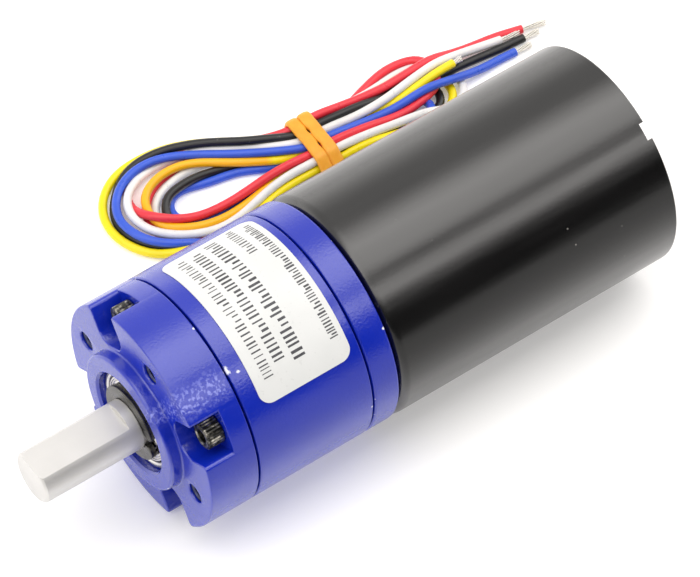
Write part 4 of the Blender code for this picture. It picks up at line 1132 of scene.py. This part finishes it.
# The relaxation: its rounds, how often the near pairs are looked up and how far beyond touching, how hard
# strands push, more firmly at first than in the last rounds, how much a strand's shift evens out along it,
# how it holds to its own line, and how fast it sinks.
ROUNDS, LAST_ROUNDS, SMOOTH_ROUNDS = 240, 25, 3
PAIRS_EVERY, PAIR_MARGIN = 6, 1.2
PUSH, LAST_PUSH = 1.2, 0.45
EVENING, HOLDING, SINKING = 0.4, 0.99, 0.006


def settle(lines):
    """Lets the leads rest on the floor and on each other: strands that lie in one another move apart, and
    each stays as near its own line as it can. The stretch from the board to the floor keeps its place."""
    start = np.concatenate([np.array(line) for line in lines])
    owner = np.concatenate([np.full(len(line), i) for i, line in enumerate(lines)])
    along = np.concatenate([np.arange(len(line)) for line in lines])
    loose = np.clip((along - LED_IN) / LOOSENING, 0.0, 1.0)
    same = owner[1:] == owner[:-1]
    least = LEAD_DIAMETER / MM / 2
    place = start.copy()
    for turn in range(ROUNDS):
        if turn % PAIRS_EVERY == 0:
            first, second = close_pairs(place, owner, CLEARANCE + PAIR_MARGIN)
        apart = place[first] - place[second]
        distance = np.sqrt((apart**2).sum(axis=1)) + 1e-9
        deep = np.maximum(CLEARANCE - distance, 0.0)
        push = apart * (deep / distance)[:, None] * 0.5
        touching = np.ones(len(place))
        np.add.at(touching, first[deep > 0], 1)
        np.add.at(touching, second[deep > 0], 1)
        shift = np.zeros_like(place)
        np.add.at(shift, first, push)
        np.add.at(shift, second, -push)
        yielding = PUSH if turn < ROUNDS - LAST_ROUNDS else LAST_PUSH
        place += shift * (loose / np.sqrt(touching))[:, None] * yielding
        moved = place - start
        middle = np.zeros_like(moved)
        count = np.zeros(len(moved))
        for this, other in ((slice(1, None), slice(None, -1)), (slice(None, -1), slice(1, None))):
            middle[this][same] += moved[other][same]
            count[this][same] += 1
        middle /= count[:, None]
        moved += EVENING * (middle - moved) * loose[:, None]
        moved[:, :2] *= HOLDING
        moved[:, 2] -= SINKING * loose
        place = start + moved
        for reach, radius in BEND_STEPS:
            place = eased_bends(place, owner, loose, reach, radius)
        place[:, 2] = np.maximum(place[:, 2], least)
    for _ in range(SMOOTH_ROUNDS):
        lean = np.zeros_like(place)
        lean[1:-1] = (place[:-2] + place[2:]) / 2 - place[1:-1]
        lean[1:-1][owner[:-2] != owner[2:]] = 0
        place += 0.5 * lean * loose[:, None]
    place[:, 2] = np.maximum(place[:, 2], least)
    ends = np.cumsum([len(line) for line in lines])[:-1]
    return np.split(place, ends)


INSULATION = {
    "yellow": (0.93, 0.74, 0.0),
    "black": (0.008, 0.008, 0.009),
    "blue": (0.03, 0.10, 0.62),
    "white": (0.78, 0.77, 0.76),
    "red": (0.78, 0.03, 0.05),
}
# How far each lead's bare end reaches past its sleeve, and its fine strands' radius, their distance from the
# middle, their twist in degrees, and how much of them the sleeve covers.
BARE_LENGTH = {"yellow": 2.2, "black": 3.4, "blue": 3.6, "white": 4.0, "red": 4.6}
FINE_RADIUS, FINE_OFFSET, FINE_TWIST, FINE_COVERED = 0.12, 0.25, 110, 0.5


def tube(name, strands, radius, sides=3):
    """A curve object of one round tube for each list of points, in mm."""
    data = bpy.data.curves.new(name, "CURVE")
    data.dimensions = "3D"
    data.bevel_depth = radius * MM
    data.bevel_resolution = sides
    data.use_fill_caps = True
    for points in strands:
        spline = data.splines.new("POLY")
        spline.points.add(len(points) - 1)
        for target, point in zip(spline.points, points):
            target.co = (*(Vector(point) * MM), 1)
    made = bpy.data.objects.new(name, data)
    bpy.context.scene.collection.objects.link(made)
    return made


def bare_strands(colour, points):
    """Seven fine tinned strands, lightly twisted, past the cut end of the sleeve."""
    tip = Vector(points[-1])
    direction = (tip - Vector(points[-5])).normalized()
    direction.z = max(direction.z, -0.05)
    side = direction.cross(Vector((0, 0, 1))).normalized()
    over = side.cross(direction)
    length, steps = BARE_LENGTH[colour], 14
    strands = []
    for strand in range(7):
        offset = 0.0 if strand == 6 else FINE_OFFSET
        line = []
        for step in range(steps + 1):
            share = step / steps
            spread = offset * (1 + (0.5 + 0.3 * (strand % 3)) * share**2)
            angle = math.radians(60 * strand + FINE_TWIST * share)
            place = tip + direction * (share * length * (1 - 0.05 * (strand % 3)) - FINE_COVERED)
            place += side * (spread * math.cos(angle)) + over * (spread * math.sin(angle))
            place.z = max(place.z, FINE_RADIUS)
            line.append(place)
        strands.append(line)
    made = tube(f"{colour}_bare_strands", strands, FINE_RADIUS, 2)
    made.data.materials.append(TINNED)
    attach(made, "housing")
    return made


def leads():
    lines = settle([lead_line(number) for number in range(len(COLOURS))])
    for colour, points in zip(COLOURS, lines):
        wire = tube(f"{colour}_wire", [points], LEAD_DIAMETER / MM / 2, 4)
        wire.data.materials.append(SLEEVES[colour])
        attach(wire, "housing")
        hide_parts(f"{colour}_lead", f"{colour}_lead_end")
        if colour == "red":
            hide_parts("lead_hank")
        bare_strands(colour, points)
    return lines


BAND_FLOOR, BAND_HULL_FLOOR = 0.05, 0.06


def band_outline(strands, margin):
    """Round the strands where the band crosses them: their hull in (y, z), set out by a margin."""
    points = []
    for y, z in strands:
        points += [(y + a, max(z + b, BAND_HULL_FLOOR)) for a, b in circle(margin, 24)]
    points = sorted(set(points))
    hull = []
    for way in (points, points[::-1]):
        chain = []
        for p in way:
            while len(chain) > 1:
                (ax, ay), (bx, by) = chain[-2], chain[-1]
                if (bx - ax) * (p[1] - ay) - (by - ay) * (p[0] - ax) > 0:
                    break
                chain.pop()
            chain.append(p)
        hull += chain[:-1]
    return hull


def evenly(outline, count):
    """The closed outline as evenly spaced points."""
    line = [Vector(p) for p in outline] + [Vector(outline[0])]
    lengths = [0.0]
    for a, b in zip(line, line[1:]):
        lengths.append(lengths[-1] + (b - a).length)
    made = []
    spot = 0
    for i in range(count):
        want = lengths[-1] * i / count
        while lengths[spot + 1] < want:
            spot += 1
        share = (want - lengths[spot]) / max(lengths[spot + 1] - lengths[spot], 1e-9)
        made.append(line[spot].lerp(line[spot + 1], share))
    return made


# The band's thickness, how loosely it fits, how much its edges are rounded, how far a turn leans and wanders,
# and how wide and from what height its slits open.
BAND_THICK, BAND_FIT, BAND_EDGE = 0.75, 0.04, 0.26
BAND_LEAN, BAND_LEAN_FROM, BAND_WANDER = 0.05, 38.0, 0.03
SLIT_WIDTH, SLIT_FROM = 0.22, 3.2


def hank_band(lines):
    """An elastic band wound twice round the hank, its two turns side by side."""
    around_count, across_count = 96, 6
    sleeve = LEAD_DIAMETER / MM / 2 + BAND_FIT
    chance = random.Random(3)
    turns = []
    for number, (front, back) in enumerate(BAND_TURNS):
        middle = (front + back) / 2
        strands = []
        for line in lines:
            for a, b in zip(line, line[1:]):
                if (a[0] - middle) * (b[0] - middle) <= 0 and a[1] < -30:
                    strands.append((a[1], a[2]))
        inner = evenly(band_outline(strands, sleeve), around_count)
        outer = evenly(band_outline(strands, sleeve + BAND_THICK), around_count)
        work = bmesh.new()
        loops = []
        wobble = [chance.uniform(-BAND_WANDER, BAND_WANDER) for _ in range(8)]
        for i in range(around_count):
            share = i / around_count
            drift = sum(w * math.sin(2 * math.pi * (k + 1) * share) for k, w in enumerate(wobble)) * 0.5
            side, top = outer[i]
            open_by = 0.0
            if top > SLIT_FROM:
                open_by = max(0.0, 1 - min(abs(side - slit) for slit in BAND_SLITS)) * SLIT_WIDTH
            outward = (outer[i] - inner[i]).normalized()
            loop = []
            for outline, bulge in ((inner, 0.0), (outer, 1.0)):
                steps = range(across_count + 1)
                for j in (steps if bulge else reversed(steps)):
                    t = j / across_count
                    point = outline[i] - outward * (BAND_EDGE * bulge * abs(2 * t - 1) ** 4)
                    x = front + (back - front) * t + drift + BAND_LEAN * (point.x + BAND_LEAN_FROM)
                    x += (t ** 3 if number == 0 else -((1 - t) ** 3)) * open_by
                    y, z = point.x, max(point.y, BAND_FLOOR)
                    loop.append(work.verts.new((x * MM, y * MM, z * MM)))
            loops.append(loop)
        size = len(loops[0])
        for i in range(around_count):
            a, b = loops[i], loops[(i + 1) % around_count]
            for j in range(size):
                k = (j + 1) % size
                work.faces.new((a[j], a[k], b[k], b[j]))
        turns.append(finish_mesh(work))
    made = piece("elastic_band", joined(turns), "housing", "band", LATEX, "hank_band")
    made.modifiers.remove(made.modifiers["normals"])
    fine = made.modifiers.new("fine", "SUBSURF")
    fine.levels = 1
    fine.render_levels = 1


# ---------------------------------------------------------------- assembly

BLUE = blue_paint()
BLACK = black_paint()
OXIDE = black_oxide()
THREAD = thread_metal()
SPRING = rough_solid("spring_steel", (0.055, 0.055, 0.05), (0.13, 0.125, 0.115), 0.3, 2.2 * MM, 1.0, 0.002)
SHAFT = steel("satin_shaft", (0.72, 0.71, 0.69), 0.42, depth=0.002, metallic=0.6)
RACE = steel("ground_steel", (0.72, 0.7, 0.66), 0.2, depth=0.003)
PAPER = label_paper()
INK = ink()
LATEX = elastic()
TINNED = rough_solid("tinned_strands", (0.86, 0.84, 0.8), (0.7, 0.67, 0.6), 0.3, 0.5 * MM, 1.0, 0.004)
PLASTIC = rough_solid("moulded_black", (0.012, 0.012, 0.013), (0.02, 0.02, 0.02), 0.5, 0.8 * MM)
RUBBER = rough_solid("grommet_rubber", (0.012, 0.012, 0.012), (0.022, 0.021, 0.02), 0.7, 0.5 * MM)
SLEEVES = {colour: insulation(colour, value) for colour, value in INSULATION.items()}

HIDDEN_FINISHES = {
    "blue_paint": BLUE,
    "black_paint": BLACK,
    "black_plastic": PLASTIC,
    "black_steel": OXIDE,
    "shaft_steel": SHAFT,
    "bearing_steel": RACE,
    "gear_steel": steel("cut_gear_steel", (0.45, 0.45, 0.44), 0.38, "along"),
    "lamination": striped("stacked_laminations", (0.2, 0.2, 0.22), (0.42, 0.42, 0.44), 0.5, 0.5 * MM),
    "magnet": rough_solid("plated_magnet", (0.3, 0.3, 0.31), (0.4, 0.39, 0.38), 0.3, 2 * MM, 1.0),
    "copper": striped("wound_copper", (0.55, 0.18, 0.07), (0.85, 0.4, 0.18), 0.3, 0.4 * MM),
    "board": rough_solid("circuit_board", (0.01, 0.12, 0.04), (0.02, 0.2, 0.07), 0.4, 1.5 * MM),
    "fibre": rough_solid("fibre_washer", (0.35, 0.2, 0.09), (0.48, 0.3, 0.14), 0.8, 0.6 * MM),
    "rubber": RUBBER,
    "label_paper": PAPER,
    "tinned_copper": TINNED,
    "band": LATEX,
    **{f"{colour}_insulation": made for colour, made in SLEEVES.items()},
}


def repaint():
    """Gives every CAD node that stays its own finish, by the slot it was packed with."""
    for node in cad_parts.values():
        for number, old in enumerate(node.data.materials):
            name = old.name.split(".")[0] if old else "bearing_steel"
            node.data.materials[number] = HIDDEN_FINISHES.get(name, RACE)


repaint()
front_housing()
hole_threads()
housing_screws()
output_shaft()
output_circlip()
front_bearing()
ring_gear_housing()
adapter_plate()
product_label()
label_print()
motor_can()
rear_end_cap()
wire_grommet()
hank_band(leads())
